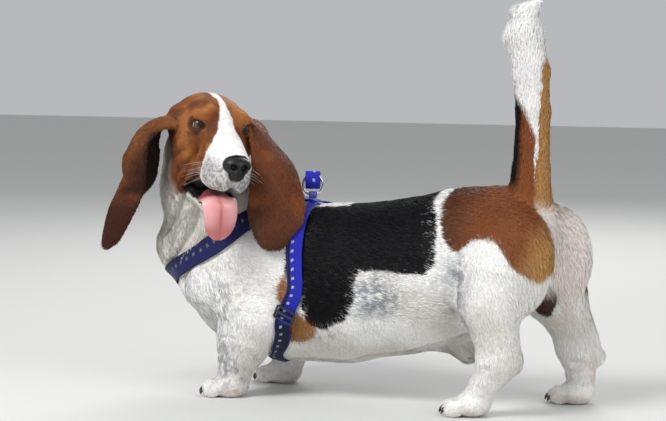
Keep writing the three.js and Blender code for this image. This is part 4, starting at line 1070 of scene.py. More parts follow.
def coat_colour(places, normals):
    moved = places + frayed(places, 4, 14, (1, 2, 3)) + frayed(places, 1.6, 3.2, (21, 22, 23))
    of_head = soft(field_at(head_shapes, places) - field_at(trunk_and_neck, places), -HEAD_BLEND)
    of_head = of_head * np.where((places[:, 0] < HEAD_BEFORE_X) & (places[:, 2] > HEAD_ABOVE), 1, 0)
    colour = painted(body_colour(moved), (tail_colour(moved), tail_share(places)),
                     (head_colour(moved), of_head))
    ear_near = sample(ear_grid, places)
    for side, here in (("left", places[:, 0] > EAR_LEFT_FROM), ("right", places[:, 0] <= EAR_RIGHT_TO)):
        colour = over(colour, ear_colour(moved, side, normals), between(ear_near, *EAR_FRINGE) * here)
    # Painted shade: skin and hair are darkened along every fold, as the shadow in a crease.
    return colour * (1 - 0.45 * crease_shade(places, ear_near))[:, None]


# Painted shade of the folds: strongest on each fold line and fading to either side.
def crease_shade(places, ear_near):
    shade = np.zeros(len(places))
    for line, width, depth in folds:
        near = ((places > line.min(0) - 2 * width) & (places < line.max(0) + 2 * width)).all(1)
        near &= ear_near > EAR_FREE
        away = away_from_line(places[near], line) / width
        shade[near] = np.maximum(shade[near], np.exp(-2 * away**2) * min(1, depth / 4))
    return shade


skin_colours = coat_colour(points, skin_normals)
print("markings on", len(points), "points", clock())

# %% [markdown]
# Short hair shines along its length and looks matt across it. The coat material takes its colour from the
# painted markings, varies it a little from hair to hair, and adds fine streaks as bump. The skin under it
# shares the material, so that no bare patch shows between tufts.

# %% Coat material
def new_material(name, roughness, shader_inputs):
    material = bpy.data.materials.new(name)
    material.use_nodes = True
    tree = material.node_tree

    def fill(node, inputs):
        for key, value in inputs.items():
            if isinstance(value, bpy.types.NodeSocket):
                tree.links.new(value, node.inputs[key])
            else:
                node.inputs[key].default_value = value
        return node

    def add(kind, inputs={}, **settings):
        node = tree.nodes.new("ShaderNode" + kind)
        for key, value in settings.items():
            setattr(node, key, value)
        return fill(node, inputs)

    shader = fill(tree.nodes["Principled BSDF"], {"Roughness": roughness, **shader_inputs})

    def finish(colour, strength=None, distance=None, height=None, invert=False):
        fill(shader, {"Base Color": colour})
        if height is not None:
            bump = add("Bump", {"Strength": strength, "Distance": distance, "Height": height}, invert=invert)
            fill(shader, {"Normal": bump.outputs["Normal"]})
        return material

    return add, finish


def coat_material(name, roughness, streak_scale, bump):
    add, finish = new_material(name, roughness, {"Specular IOR Level": 0.12})
    markings = add("Attribute", attribute_name="coat_colour").outputs["Color"]
    place = add("TexCoord").outputs["Object"]
    streaks = add("TexNoise", {"Scale": streak_scale, "Detail": 3, "Vector": place}).outputs["Fac"]
    spread = add("MapRange", {
        "From Min": 0.3, "From Max": 0.7, "To Min": 0.90, "To Max": 1.06, "Value": streaks,
    })
    shade = add("VectorMath", operation="SCALE", inputs={0: markings, "Scale": spread.outputs["Result"]})
    return finish(shade.outputs["Vector"], bump, 0.001, streaks)


skin_material = coat_material("short_coat", 0.62, 420, 0.35)
tuft_material = coat_material("coat_tufts", 0.5, 260, 0.15)
print("materials", skin_material.name, tuft_material.name)

# %% [markdown]
# The drawn surface has many more faces than the flat parts of the body need. The decimate modifier merges
# them where the body is smooth, and a vertex group spares the face. The modifier is applied, because the
# tufts are set on the finished points.

# %% The skin
SKIN_FACES = 190000
FACE_SPARED = 0.93
FLESH_NODES = [
    "head", "lower_jaw", "neck", "torso", "tail", "ear_left", "ear_right",
    "leg_front_left", "leg_front_right", "leg_hind_left", "leg_hind_right",
]
skin_mesh = make_mesh("skin", points, triangles)
paint(skin_mesh, "coat_colour", skin_colours)
skin = add_piece("skin", skin_mesh, skin_material, FLESH_NODES)
spared = skin.vertex_groups.new(name="merge")
weights = 1 - FACE_SPARED * near_face
for weight in np.unique(weights):
    spared.add(np.flatnonzero(weights == weight).tolist(), float(weight), "REPLACE")
merge = skin.modifiers.new("merge", "DECIMATE")
merge.vertex_group = "merge"
merge.ratio = SKIN_FACES / len(triangles)
with bpy.context.temp_override(object=skin, active_object=skin, selected_objects=[skin]):
    bpy.ops.object.modifier_apply(modifier="merge")
skin.vertex_groups.clear()
skin.data.polygons.foreach_set("use_smooth", np.ones(len(skin.data.polygons), bool))
print("skin", len(skin.data.polygons), "faces", clock())

# %% [markdown]
# A hound's eye is a ball with a clear bulge in front, a brown iris and a dark pupil. The lower lids of this
# breed hang a little and show some red. The ball is turned on its own axis towards the gaze, and its colour
# depends on the angle from that axis, so iris and pupil stay round. A clear top coat gives it the wet shine.

# %% Eyes
EYE_RINGS, EYE_SPOKES = 56, 64
GAZE_OUT = {"left": 14, "right": 12}
PUPIL, IRIS = math.radians(21), math.radians(52)
IRIS_BROWN = np.array([0.150, 0.062, 0.026])
EYE_WHITE = np.array([0.50, 0.42, 0.38])


def eye_material():
    add, finish = new_material("wet_eye", 0.25, {
        "Specular IOR Level": 0.2, "Coat Weight": 0.6, "Coat Roughness": 0.02,
    })
    tint = add("Attribute", attribute_name="eye_colour").outputs["Color"]
    fibres = add("TexNoise", {"Scale": 900}).outputs["Color"]
    mix = add("Mix", data_type="RGBA", blend_type="MULTIPLY", inputs={"Factor": 0.35, "A": tint, "B": fibres})
    return finish(mix.outputs["Result"])


wet_eye = eye_material()


def make_eye(side):
    sign = 1 if side == "left" else -1
    turn = math.radians(GAZE_OUT[side])
    gaze = unit(head_way((math.cos(turn), sign * math.sin(turn), 0.05)))
    lateral = unit(np.cross(HEAD_AXES[2], gaze))
    lift = np.cross(gaze, lateral)
    polar = np.linspace(0.004, math.pi - 0.004, EYE_RINGS + 1)
    angle, spoke = np.meshgrid(polar, around(EYE_SPOKES), indexing="ij")
    radius = (EYE_RADIUS - 0.5) * (1 + 0.045 * np.clip(1 - (angle / (IRIS * 1.15)) ** 2, 0, 1))
    across_ball, up_ball = np.sin(angle) * np.cos(spoke), np.sin(angle) * np.sin(spoke)
    ways = np.stack([np.cos(angle), across_ball, up_ball], -1) @ np.array([gaze, lateral, lift])
    places = (radius[..., None] * ways).reshape(-1, 3) + on_head(EYES[side])
    angle, spoke = angle.ravel(), spoke.ravel()
    fibre = 0.75 + 0.35 * np.sin(spoke * 23 + 3 * np.sin(spoke * 7)) * between(angle, PUPIL, PUPIL + 0.2)
    white = over(EYE_WHITE[None], (0.40, 0.13, 0.10), between(np.sin(spoke), -0.2, -0.8))
    colour = painted(
        IRIS_BROWN * fibre[:, None],
        (IRIS_BROWN * 1.9, 0.6 * between(angle, IRIS - 0.35, IRIS - 0.12)),
        ((0.010, 0.006, 0.005), between(angle, IRIS - 0.10, IRIS - 0.02)),
        ((0.004, 0.004, 0.005), between(angle, PUPIL + 0.04, PUPIL - 0.02)),
        (white, between(angle, IRIS + 0.02, IRIS + 0.14)),
    )
    index = np.arange(len(places)).reshape(-1, EYE_SPOKES)
    mesh = make_mesh("eye_" + side + "_ball", *facing_out(places, ring_quads(index)))
    paint(mesh, "eye_colour", colour)
    add_piece("eyeball_" + side, mesh, wet_eye, ["eye_" + side])


for side in EYES:
    make_eye(side)
print("eyes", EYE_RADIUS * 2, "mm across")

# %% [markdown]
# The lids end in a thin dark rim, thicker than the skin and a little wet. A closed tube follows the edge of
# each opening. The point where the opening meets the ball is found along rays from the ball's middle.

# %% Tubes, and plain tinted materials
TUBE_SIDES = 10


def along_path(path, closed):
    if closed:
        return unit(np.roll(path, -1, 0) - np.roll(path, 1, 0))
    return unit(np.gradient(path, axis=0))


def tube(path, radius, spokes=TUBE_SIDES, closed=False):
    path = np.asarray(path, float)
    radius = np.broadcast_to(np.asarray(radius, float), (len(path),))
    along = along_path(path, closed)
    first = unit(np.cross(along[0], UP if abs(along[0][2]) < 0.9 else np.array([1.0, 0, 0])))
    sides = [first]
    for way_along in along[1:]:
        sides.append(unit(sides[-1] - way_along * (sides[-1] @ way_along)))
    sides = np.array(sides)
    others = np.cross(along, sides)
    turn = around(spokes)
    ring = sides[:, None] * np.cos(turn)[:, None] + others[:, None] * np.sin(turn)[:, None]
    places = path[:, None] + ring * radius[:, None, None]
    index = np.arange(len(path) * spokes).reshape(len(path), spokes)
    return facing_out(places.reshape(-1, 3), ring_quads(index, closed))


def tinted(name, colour, roughness, grain_scale, spread=0.5, bump=0.2, distance=0.0005, coat=0.0,
           metallic=0.0):
    add, finish = new_material(name, roughness, {
        "Coat Weight": coat, "Coat Roughness": 0.15, "Metallic": metallic,
    })
    place = add("TexCoord").outputs["Object"]
    grain = add("TexNoise", {"Scale": grain_scale, "Detail": 4, "Vector": place}).outputs["Fac"]
    ramp = add("ValToRGB", {"Fac": grain})
    for element, position, share in zip(ramp.color_ramp.elements, (0.3, 0.7), (1 - spread, 1 + spread)):
        element.position = position
        element.color = (*np.clip(np.array(colour) * share, 0, 1), 1)
    return finish(ramp.outputs["Color"], bump, distance, grain)


print("tubes of", TUBE_SIDES, "sides unless told otherwise")

# %% Lid rims
lid_material = tinted("lid_rim", (0.022, 0.014, 0.013), 0.35, 500, coat=0.5)
LID_LIFT = 0.6
for side, opening in zip(EYES, eye_openings):
    middle = on_head(EYES[side])
    axes = gaze_axes(side)
    rim = []
    for turn in around(72):
        bend = np.linspace(0.1, 1.35, 240)[:, None]
        spread_way = axes[1] * math.cos(turn) + axes[2] * math.sin(turn)
        ray = middle + (EYE_RADIUS + LID_LIFT) * (axes[0] * np.cos(bend) + spread_way * np.sin(bend))
        outside = np.flatnonzero(opening["distance"](*ray.T) > 0.2)
        rim.append(ray[outside[0]])
    rim = np.array(rim)
    for _ in range(3):
        rim = (rim + np.roll(rim, 1, 0) + np.roll(rim, -1, 0)) / 3
    places, quads = tube(rim, 0.95, closed=True)
    add_piece("lid_rim_" + side, make_mesh("lid_rim_" + side, places, quads), lid_material)
print("lid rims")

# %% [markdown]
# The nose is bare black leather, wet and pebbled, with comma-shaped nostrils and a groove below. It gets a
# fine surface of its own from the same field method, and cells from a Voronoi texture make the pebbles.

# %% Nose
nose_parts = [*nose_shapes]
for side in (-1, 1):
    nose_parts.append(hollow(head_egg((170, 3 + side * 9.5, -30), (11, 5.6, 5.6), 2.5)))
    nose_parts.append(hollow(head_limb((169, 3 + side * 12, -33), (157, 3 + side * 24, -38), 3.6, 2.6, 2)))
nose_parts.append(hollow(head_limb((172.5, 3, -34), (169, 3, -54), 1.2, 1.5, 3)))


def surface_of(shapes, low, high, cell, level):
    size = np.ceil((high - low) / cell).astype(int) + 1
    ticks_here = (low[i] + np.arange(n) * cell for i, n in enumerate(size))
    spots = np.stack(np.meshgrid(*ticks_here, indexing="ij"), -1)
    field = field_at(shapes, spots.reshape(-1, 3)) - level
    drawn = openvdb.FloatGrid(30.0)
    drawn.copyFromArray(np.clip(field.reshape(size) / cell, -3, 3).astype(np.float32))
    made, made_quads = drawn.convertToQuads(0.0)
    return facing_out(np.asarray(made, float) * cell + low, np.asarray(made_quads))


NOSE_CELL, NOSE_LEVEL = 0.9, -0.4
nose_low = np.min([shape["low"] for shape in nose_shapes], 0) - 3
nose_high = np.max([shape["high"] for shape in nose_shapes], 0) + 3
nose_points, nose_quads = surface_of(nose_parts, nose_low, nose_high, NOSE_CELL, NOSE_LEVEL)


def nose_material():
    add, finish = new_material("nose_leather", 0.42, {
        "Specular IOR Level": 0.3, "Coat Weight": 0.15, "Coat Roughness": 0.25,
    })
    place = add("TexCoord").outputs["Object"]
    pebbles = add("TexVoronoi", {"Scale": 750, "Vector": place}).outputs["Distance"]
    ramp = add("ValToRGB", {"Fac": pebbles})
    ramp.color_ramp.elements[0].color = (0.007, 0.007, 0.009, 1)
    ramp.color_ramp.elements[1].color = (0.002, 0.002, 0.003, 1)
    return finish(ramp.outputs["Color"], 0.5, 0.0006, pebbles, invert=True)


nose_mesh = make_mesh("nose_pad", nose_points, nose_quads)
add_piece("nose_pad", nose_mesh, nose_material(), ["nose"])
print("nose", len(nose_quads), "quads")

# %% [markdown]
# The tongue hangs over the lower lip with a groove down its middle. It is the same kind of sheet as an ear,
# only thicker in the middle. Its colour runs from pale pink at the sides to a deeper red in the groove and
# near the tip, painted shade darkens its root inside the mouth, and it is wet.

# %% Tongue
TONGUE_THICKNESS = 9
TONGUE_ROWS = [
    (46, 0, -104, 22, 2), (72, -3, -104, 25, 3), (98, -7, -102, 28, 4), (122, -10, -97, 29, 4),
    (135, -11, -99, 29, 4), (141, -9, -114, 28, 4), (140, -7, -132, 26, 3.5), (136, -5, -148, 20, 3),
    (133, -4, -159, 9, 1),
]
tongue_rows = [(*on_head((f, s, u)), half, math.degrees(YAW), 0, -dip) for f, s, u, half, dip in TONGUE_ROWS]


def tongue_thickness(t, q):
    slab = TONGUE_THICKNESS * (1 - 0.35 * t) * (1 - 0.55 * q**4)
    groove = 1.7 * np.exp(-((q / 0.10) ** 2)) * between(t, 0.25, 0.4) * between(t, 0.97, 0.85)
    return np.maximum(slab - groove - 0.3, 1.2)


STEPS, SPAN = 110, 48
tongue_points, tongue_quads = sheet(tongue_rows, STEPS, SPAN, tongue_thickness)
t_of = np.tile(np.repeat(np.linspace(0, 1, STEPS + 1), SPAN + 1), 2)
q_of = np.tile(np.tile(np.linspace(-1, 1, SPAN + 1), STEPS + 1), 2)
tongue_colour = painted(
    np.array([[0.66, 0.25, 0.25]]),
    ((0.74, 0.36, 0.36), between(np.abs(q_of), 0.2, 0.7)),
    ((0.42, 0.09, 0.09), 0.8 * np.exp(-((q_of / 0.12) ** 2)) * between(t_of, 0.3, 0.6)),
    ((0.55, 0.13, 0.13), 0.8 * between(t_of, 0.68, 0.84)),
    # Painted shade where the tongue goes back into the mouth.
    ((0.30, 0.07, 0.07), between(t_of, 0.42, 0.2)),
)


def wet_skin(name, attribute):
    add, finish = new_material(name, 0.32, {"Coat Weight": 0.3, "Coat Roughness": 0.2})
    tint = add("Attribute", attribute_name=attribute).outputs["Color"]
    place = add("TexCoord").outputs["Object"]
    buds = add("TexNoise", {"Scale": 900, "Vector": place}).outputs["Fac"]
    return finish(tint, 0.3, 0.0005, buds)


tongue_mesh = make_mesh("tongue_flesh", tongue_points, tongue_quads)
paint(tongue_mesh, "flesh_colour", tongue_colour)
add_piece("tongue_flesh", tongue_mesh, wet_skin("wet_tongue", "flesh_colour"), ["tongue"])
print("tongue", len(tongue_quads), "quads")

# %% [markdown]
# Claws are blunt, dark and curved, one on each toe. Whiskers are stiff pale hairs in rows on the upper lip,
# and a few longer ones stand over the eyes. Both are thin tubes that taper.

# %% Claws
def joined(parts):
    points_of, quads_of, count = [], [], 0
    for part_points, part_quads in parts:
        points_of.append(part_points)
        quads_of.append(part_quads + count)
        count += len(part_points)
    return np.concatenate(points_of), np.concatenate(quads_of)


claw_parts = []
CLAW_LINE = np.array([(-10, 0, 15.5), (-14, 0, 13.5), (-17.5, 0, 10.5), (-19.6, 0, 7.0), (-20.6, 0, 4.0)])
CLAW_RADII = np.array([3.4, 3.3, 2.8, 1.9, 0.5])
for at, side in PAWS.values():
    for toe in toes_of(at, side):
        line = curve_through(CLAW_LINE + (toe[0], toe[1], 0), 20)
        radii = np.interp(np.linspace(0, 4, 21), np.arange(5), CLAW_RADII)
        claw_parts.append(tube(line, radii, 12))
claw_material = tinted("claw_horn", (0.040, 0.031, 0.026), 0.4, 140, 0.45, 0.2)
add_piece("claws", make_mesh("claws", *joined(claw_parts)), claw_material)
print(len(claw_parts), "claws")

# %% Whiskers
chance_of = np.random.default_rng(7)
whisker_parts = []
for side in (-1, 1):
    for row, height in enumerate((-38, -47, -56)):
        for k in range(4):
            ahead_at = 128 - 9 * k - 3 * row
            outer = on_head((ahead_at, side * 60, height + chance_of.uniform(-3, 3)))
            inner_at = on_head((ahead_at, 0, height))
            ray = outer + (inner_at - outer) * np.linspace(0, 1, 160)[:, None]
            start = ray[np.flatnonzero(field_at(flesh, ray) < -COAT_DEPTH - 0.5)[0]]
            reach = chance_of.uniform(22, 44)
            sweep = np.array([-0.35 - 0.12 * k, side * 1.0, -0.25 - 0.15 * row])
            sweep += chance_of.normal(size=3) * 0.12
            sweep = unit(head_way(sweep))
            t = np.linspace(0, 1, 9)[:, None]
            path = start + sweep * reach * t - (HEAD_AXES[0] * 0.22 + UP * 0.18) * reach * t**2
            whisker_parts.append(tube(path, np.linspace(0.34, 0.08, 9), 5))
whisker_material = tinted("whisker", (0.50, 0.48, 0.45), 0.4, 200, 0.1, 0.1)
add_piece("whiskers", make_mesh("whiskers", *joined(whisker_parts)), whisker_material)
print(len(whisker_parts), "whiskers")

# %% [markdown]
# The harness is flat webbing: one strap round the girth, one round the neck and a narrow one down the
# breastbone. Webbing keeps its width and lies close to the body. Each strap follows a path that is cast on
# the body from outside, a little above the hair. Across it lie thirteen points, each settled on the body,
# so that the band twists with the chest as the real one does. Its edges are rounded by the thickness.

# %% Bands on the body
WEBBING_LIFT, WEBBING_THICKNESS = 2.2, 2.4
GIRTH_WIDTH, NECK_WIDTH, STERNUM_WIDTH = 28, 36, 20
STATIONS_BETWEEN = 5
ACROSS = np.linspace(-1, 1, 13)


def cast_to_body(origins, ways):
    origins, ways = np.atleast_2d(origins).astype(float), np.atleast_2d(ways).astype(float)
    reaches = np.arange(300, 0, -3.0)
    spots = origins[:, None] + ways[:, None] * reaches[:, None]
    values = field_at(body, spots.reshape(-1, 3)).reshape(len(origins), -1)
    first = (values <= WEBBING_LIFT).argmax(1)
    return settle(body, spots[np.arange(len(origins)), first], WEBBING_LIFT, 3, 5)


def finer(path, closed):
    path = np.asarray(path, float)
    if not closed:
        return curve_through(path, (len(path) - 1) * STATIONS_BETWEEN)
    wrapped = np.concatenate([path[-2:], path, path[:3]])
    line = curve_through(wrapped, (len(wrapped) - 1) * STATIONS_BETWEEN)
    return line[2 * STATIONS_BETWEEN:2 * STATIONS_BETWEEN + len(path) * STATIONS_BETWEEN]


def lay_band(path, width, closed, outward=None, thickness=WEBBING_THICKNESS):
    count = len(path)
    out = unit(outward(path) if outward else slope_at(body, path, 4.0))
    side = unit(np.cross(along_path(path, closed), out))
    feet = path[:, None] + side[:, None] * (ACROSS * width / 2)[:, None]
    if not outward:
        feet = settle(body, feet.reshape(-1, 3), WEBBING_LIFT, 6, 4).reshape(feet.shape)
    rounding = np.sqrt(np.clip(1 - np.abs(ACROSS) ** 14, 0, 1)) * 0.62 + 0.38
    lift = (thickness / 2 * rounding)[:, None] * out[:, None]
    middle = feet + out[:, None] * thickness / 2
    ring = np.concatenate([middle + lift, (middle - lift)[:, ::-1]], 1)
    size = ring.shape[1]
    index = np.arange(count * size).reshape(count, size)
    quads = ring_quads(index, closed)
    if not closed:
        quads = np.concatenate([quads, end_quads(index[0])[:, ::-1], end_quads(index[-1])])
    places, quads = facing_out(ring.reshape(-1, 3), quads)
    step = np.linalg.norm(np.roll(path, -1, 0) - path, axis=1)
    travelled = np.concatenate([[0], np.cumsum(step)[:-1]])
    across_of = np.tile(np.concatenate([ACROSS, ACROSS[::-1]]), count)
    along_of = np.repeat(travelled, size)
    return places, quads, across_of, along_of


print("webbing", WEBBING_THICKNESS, "mm thick,", GIRTH_WIDTH, "mm wide round the girth")

# %% [markdown]
# The girth strap starts at the withers, runs down behind the shoulder and slants forward under the chest. The
# neck strap leans forward and lies low on the breast. The narrow one joins them between the front legs.

# %% Paths of the straps
GIRTH_STATIONS = 44
girth_turns = 2 * math.pi * np.arange(GIRTH_STATIONS) / GIRTH_STATIONS
from_top = np.degrees(np.minimum(girth_turns, 2 * math.pi - girth_turns))
GIRTH_AT = [(-36, 0), (-27, 50), (-20, 90), (-50, 130), (-84, 160), (-97, 180)]


def girth_x(turn):
    for (x1, t1), (x2, t2) in zip(GIRTH_AT, GIRTH_AT[1:]):
        if turn <= t2:
            t = (turn - t1) / (t2 - t1)
            return x1 + (x2 - x1) * t * t * (3 - 2 * t)
    return GIRTH_AT[-1][0]


girth_ways = np.stack([0 * girth_turns, -np.sin(girth_turns), np.cos(girth_turns)], 1)
girth_from = np.stack([[girth_x(t) for t in from_top] + 24 * np.maximum(0, -np.sin(girth_turns)),
                       0 * girth_turns, 0 * girth_turns + 195], 1)
girth_path = cast_to_body(girth_from, girth_ways)
NECK_FRONT = unit([-238, 0, -140])
neck_ways = np.cos(girth_turns)[:, None] * NECK_FRONT + np.sin(girth_turns)[:, None] * [0, -1, 0]
neck_top = ((1 - np.cos(girth_turns)) / 2) ** 3
neck_from = np.array([-172, -6, 256.0]) + neck_top[:, None] * [-26, 0, 0]
neck_path = cast_to_body(neck_from, neck_ways)
sternum_turns = np.radians(np.linspace(192, 258, 17))
sternum_ways = np.stack([np.cos(sternum_turns), 0 * sternum_turns, np.sin(sternum_turns)], 1)
sternum_path = cast_to_body(np.tile([-150.0, 0, 190], (17, 1)), sternum_ways)
print("girth", round(np.linalg.norm(np.roll(girth_path, -1, 0) - girth_path, axis=1).sum()), "mm round")

# %% [markdown]
# Webbing is woven, so its surface is a fine grid of yarns that catch the light. Two numbers are kept on
# every point: how far across the strap it lies and how far along. From these the material draws the woven
# ribs, a black edge, stitches, and a row of small plain pale dashes.

# %% Webbing material
BLUE = (0.010, 0.016, 0.40)
NAVY = (0.004, 0.005, 0.028)
INK = (0.003, 0.003, 0.005)
DASH_EVERY, DASH_LONG = 15.0, 4.6
STITCH_EVERY, STITCH_LONG = 3.2, 2.1


def webbing_material(name, bright, dark, edge_from=None, dashes=0.55, dark_from=0.0, dark_to=0.0):
    add, finish = new_material(name, 0.55, {
        "Specular IOR Level": 0.25, "Sheen Weight": 0.04, "Sheen Roughness": 0.4,
    })

    def maths(operation, *values):
        return add("Math", dict(enumerate(values)), operation=operation).outputs[0]

    def tones(base, colour, amount):
        mix = add("Mix", data_type="RGBA", inputs={"Factor": amount, "A": base, "B": (*colour, 1)})
        return mix.outputs["Result"]

    across_of, along_of = (add("Attribute", attribute_name=name_of).outputs["Fac"]
                           for name_of in ("across", "along"))
    grain = add("TexNoise", {"Scale": 260}).outputs["Fac"]
    colour = tones((*bright, 1), np.array(bright) * 0.45, maths("MULTIPLY", grain, 0.5))
    if dark_to:
        beyond = maths("GREATER_THAN", along_of, dark_from)
        colour = tones(colour, dark, maths("MULTIPLY", beyond, maths("LESS_THAN", along_of, dark_to)))
    if edge_from is not None:
        colour = tones(colour, INK, maths("LESS_THAN", across_of, edge_from))
    if dashes:
        slant = maths("MULTIPLY_ADD", across_of, 4.0, along_of)
        short = maths("LESS_THAN", maths("MODULO", slant, DASH_EVERY), DASH_LONG)
        narrow = maths("LESS_THAN", maths("ABSOLUTE", maths("ADD", across_of, 0.22)), 0.17)
        patchy = maths("GREATER_THAN", grain, 0.44)
        pale = (0.7 * dashes, 0.9 * dashes, 1.15 * dashes)
        colour = tones(colour, pale, maths("MULTIPLY", maths("MULTIPLY", short, narrow), patchy))
    from_row = maths("ABSOLUTE", maths("SUBTRACT", maths("ABSOLUTE", across_of), 0.86))
    stitch = maths("LESS_THAN", maths("MODULO", along_of, STITCH_EVERY), STITCH_LONG)
    sewn = maths("MULTIPLY", maths("LESS_THAN", from_row, 0.035), stitch)
    colour = tones(colour, np.array(bright) * 1.3 + 0.004, sewn)
    ribs = maths("SINE", maths("MULTIPLY", along_of, 4.2))
    yarns = maths("SINE", maths("MULTIPLY", across_of, 70.0))
    weave = maths("MULTIPLY_ADD", ribs, yarns, maths("MULTIPLY", sewn, 1.5))
    return finish(colour, 0.45, 0.0005, weave)




print("webbing marks every", DASH_EVERY, "mm")


# %% The three straps
def add_band(name, laid, material, node, front=1):
    places, quads, across_of, along_of = laid
    mesh = make_mesh(name, places, quads)
    number(mesh, "across", across_of * front)
    number(mesh, "along", along_of)
    return add_piece(name, mesh, material, [node])


girth_laid = lay_band(finer(girth_path, True), GIRTH_WIDTH, True)
girth_length = girth_laid[3].max()
SLIDER_STATION, BUCKLE_STATION = 14, 32
slider_share = SLIDER_STATION / GIRTH_STATIONS
girth_material = webbing_material("girth_webbing", BLUE, NAVY, -0.52, 0.55, girth_length * slider_share,
                                  girth_length * (1 - slider_share * 0.8))
add_band("girth_webbing", girth_laid, girth_material, "strap_girth", -1)
neck_laid = lay_band(finer(neck_path, True), NECK_WIDTH, True)
neck_material = webbing_material("neck_webbing", (0.005, 0.007, 0.075), NAVY, -0.80, 0.16)
add_band("neck_webbing", neck_laid, neck_material, "strap_neck")
sternum_laid = lay_band(finer(sternum_path, False), STERNUM_WIDTH, False)
sternum_material = webbing_material("sternum_webbing", INK, INK, None, 0)
add_band("sternum_webbing", sternum_laid, sternum_material, "strap_sternum")
print("straps", clock())

# %% [markdown]
# A slider sets the girth strap's length on the left, and a side release buckle closes it on the right. Both
# are moulded black plastic with soft edges. Each starts flat as an outline with rings at rising heights,
# drawn in at top and bottom like a mould's draft, and is then set on the strap.

# %% Outlines and blocks
ON_STRAP = WEBBING_THICKNESS + 0.6


def rounded_outline(long, wide, corner, steps=6):
    spots = []
    for cx, cy, start in ((1, -1, -90), (1, 1, 0), (-1, 1, 90), (-1, -1, 180)):
        for turn in np.radians(np.linspace(start, start + 90, steps + 1)):
            spots.append((cx * (long / 2 - corner) + corner * math.cos(turn),
                          cy * (wide / 2 - corner) + corner * math.sin(turn)))
    return np.array(spots)


def waisted(outline, long, depth):
    drawn = []
    for a, b in zip(outline, np.roll(outline, -1, 0)):
        parts = max(1, int(np.linalg.norm(b - a) / 1.6))
        drawn += [a + (b - a) * k / parts for k in range(parts)]
    drawn = np.array(drawn)
    pull = depth * np.exp(-((drawn[:, 0] / (long * 0.16)) ** 2))
    drawn[:, 1] -= np.sign(drawn[:, 1]) * np.minimum(pull, np.abs(drawn[:, 1]) * 0.9)
    return drawn


def block(outline, heights, insets, hole=None):
    centre = outline.mean(0)
    reach = np.linalg.norm(outline - centre, axis=1, keepdims=True)
    levels = list(zip(heights, insets))
    rings = [(outline - (outline - centre) / reach * inset, height) for height, inset in levels]
    if hole is not None:
        mid = hole.mean(0)
        out = np.linalg.norm(hole - mid, axis=1, keepdims=True)
        rings += [(hole + (hole - mid) / out * inset, height) for height, inset in levels[::-1]]
    count = len(outline)
    places = np.concatenate([np.column_stack([flat, np.full(count, height)]) for flat, height in rings])
    index = np.arange(len(places)).reshape(-1, count)
    quads = ring_quads(index, hole is not None)
    if hole is None:
        quads = np.concatenate([quads, end_quads(index[0])[:, ::-1], end_quads(index[-1])])
    return facing_out(places, quads)


def set_on(points_flat, at, out, along):
    side = unit(np.cross(out, along))
    way = unit(np.cross(side, out))
    return at + points_flat @ np.array([way, side, out])


def on_strap(parts, path, i):
    at = path[i]
    out = unit(slope_at(body, at[None]))[0]
    along = path[(i + 1) % len(path)] - path[i - 1]
    places, quads = joined(parts)
    return set_on(places + [0, 0, ON_STRAP], at, out, along), quads


def box_outline(x1, x2, y1, y2):
    spots = rounded_outline(x2 - x1, y2 - y1, 1.0)
    return spots + [(x1 + x2) / 2, (y1 + y2) / 2]


print("blocks are set", round(ON_STRAP, 1), "mm above a strap's path")

# %% Slider
plastic = tinted("moulded_plastic", (0.012, 0.012, 0.014), 0.38, 700, 0.25, 0.12, 0.0004, 0.2)
frame_outline = rounded_outline(26, GIRTH_WIDTH + 8, 4)
BAR_REACH = GIRTH_WIDTH / 2 + 1.5
inner_outline = rounded_outline(19, GIRTH_WIDTH + 1, 1.6)
slider_parts = [
    block(frame_outline, (0, 0.6, 2.9, 3.5), (0.7, 0, 0, 0.7), inner_outline),
    block(box_outline(-2.6, 2.6, -BAR_REACH, BAR_REACH), (0.4, 0.9, 2.8, 3.4), (0.5, 0, 0, 0.5)),
]
slider_mesh = make_mesh("slider_moulded", *on_strap(slider_parts, girth_path, SLIDER_STATION))
add_piece("slider_moulded", slider_mesh, plastic, ["slider_left"])

# %% Buckle
BUCKLE_LONG, BUCKLE_WIDE = 58, GIRTH_WIDTH + 8
buckle_outline = waisted(rounded_outline(BUCKLE_LONG, BUCKLE_WIDE, 4), BUCKLE_LONG, 6)
buckle_parts = [
    block(buckle_outline, (0, 1.2, 8.8, 10.2), (1.6, 0, 0, 1.6)),
    block(box_outline(-26, -4, -11, 11), (9.6, 10.0, 11.0, 11.5), (0, 0, 0.2, 1.0)),
    *(block(box_outline(x, x + 3, -12, 12), (9.6, 10.0, 11.0, 11.4), (0, 0, 0.2, 0.8)) for x in (6, 13, 20)),
]
buckle_mesh = make_mesh("buckle_moulded", *on_strap(buckle_parts, girth_path, BUCKLE_STATION))
add_piece("buckle_moulded", buckle_mesh, plastic, ["buckle_right"])
print("slider and buckle")

# %% [markdown]
# At the withers a sewn patch holds both straps. A short tab stands on it and carries a welded steel ring,
# and a loop of blue webbing runs through the ring.

# %% Ring, tab, loop and patch
RING_RADIUS, RING_WIRE = 17, 2
TAB_WIDTH, TAB_RADIUS, LOOP_WIDTH = 13, 3.8, 24
ring_turn = math.radians(18)
ring_side = np.cross(UP, [math.cos(ring_turn), math.sin(ring_turn), 0])
plate_at = cast_to_body([-54, 0, 200], UP)[0]
plate_out = unit(slope_at(body, plate_at[None]))[0]
PATCH_THICKNESS, TAB_GAP = 2.4, 0.9
tab_lift = ON_STRAP + PATCH_THICKNESS + TAB_GAP + TAB_RADIUS + WEBBING_THICKNESS
tab_at = cast_to_body([-37, 0, 200], UP)[0] + UP * tab_lift
ring_at = tab_at + UP * RING_RADIUS
loop_at = ring_at + UP * 8


def ellipse(at, wide, tall, count):
    turn = around(count)[:, None]
    return at + ring_side * (wide * np.cos(turn)) + UP * (tall * np.sin(turn))


def standing_loop(at, wide, tall, width, count):
    def outward(path):
        d = path - at
        return (d @ ring_side / wide**2)[:, None] * ring_side + (d[:, 2] / tall**2)[:, None] * UP

    return lay_band(ellipse(at, wide, tall, count), width, True, outward)


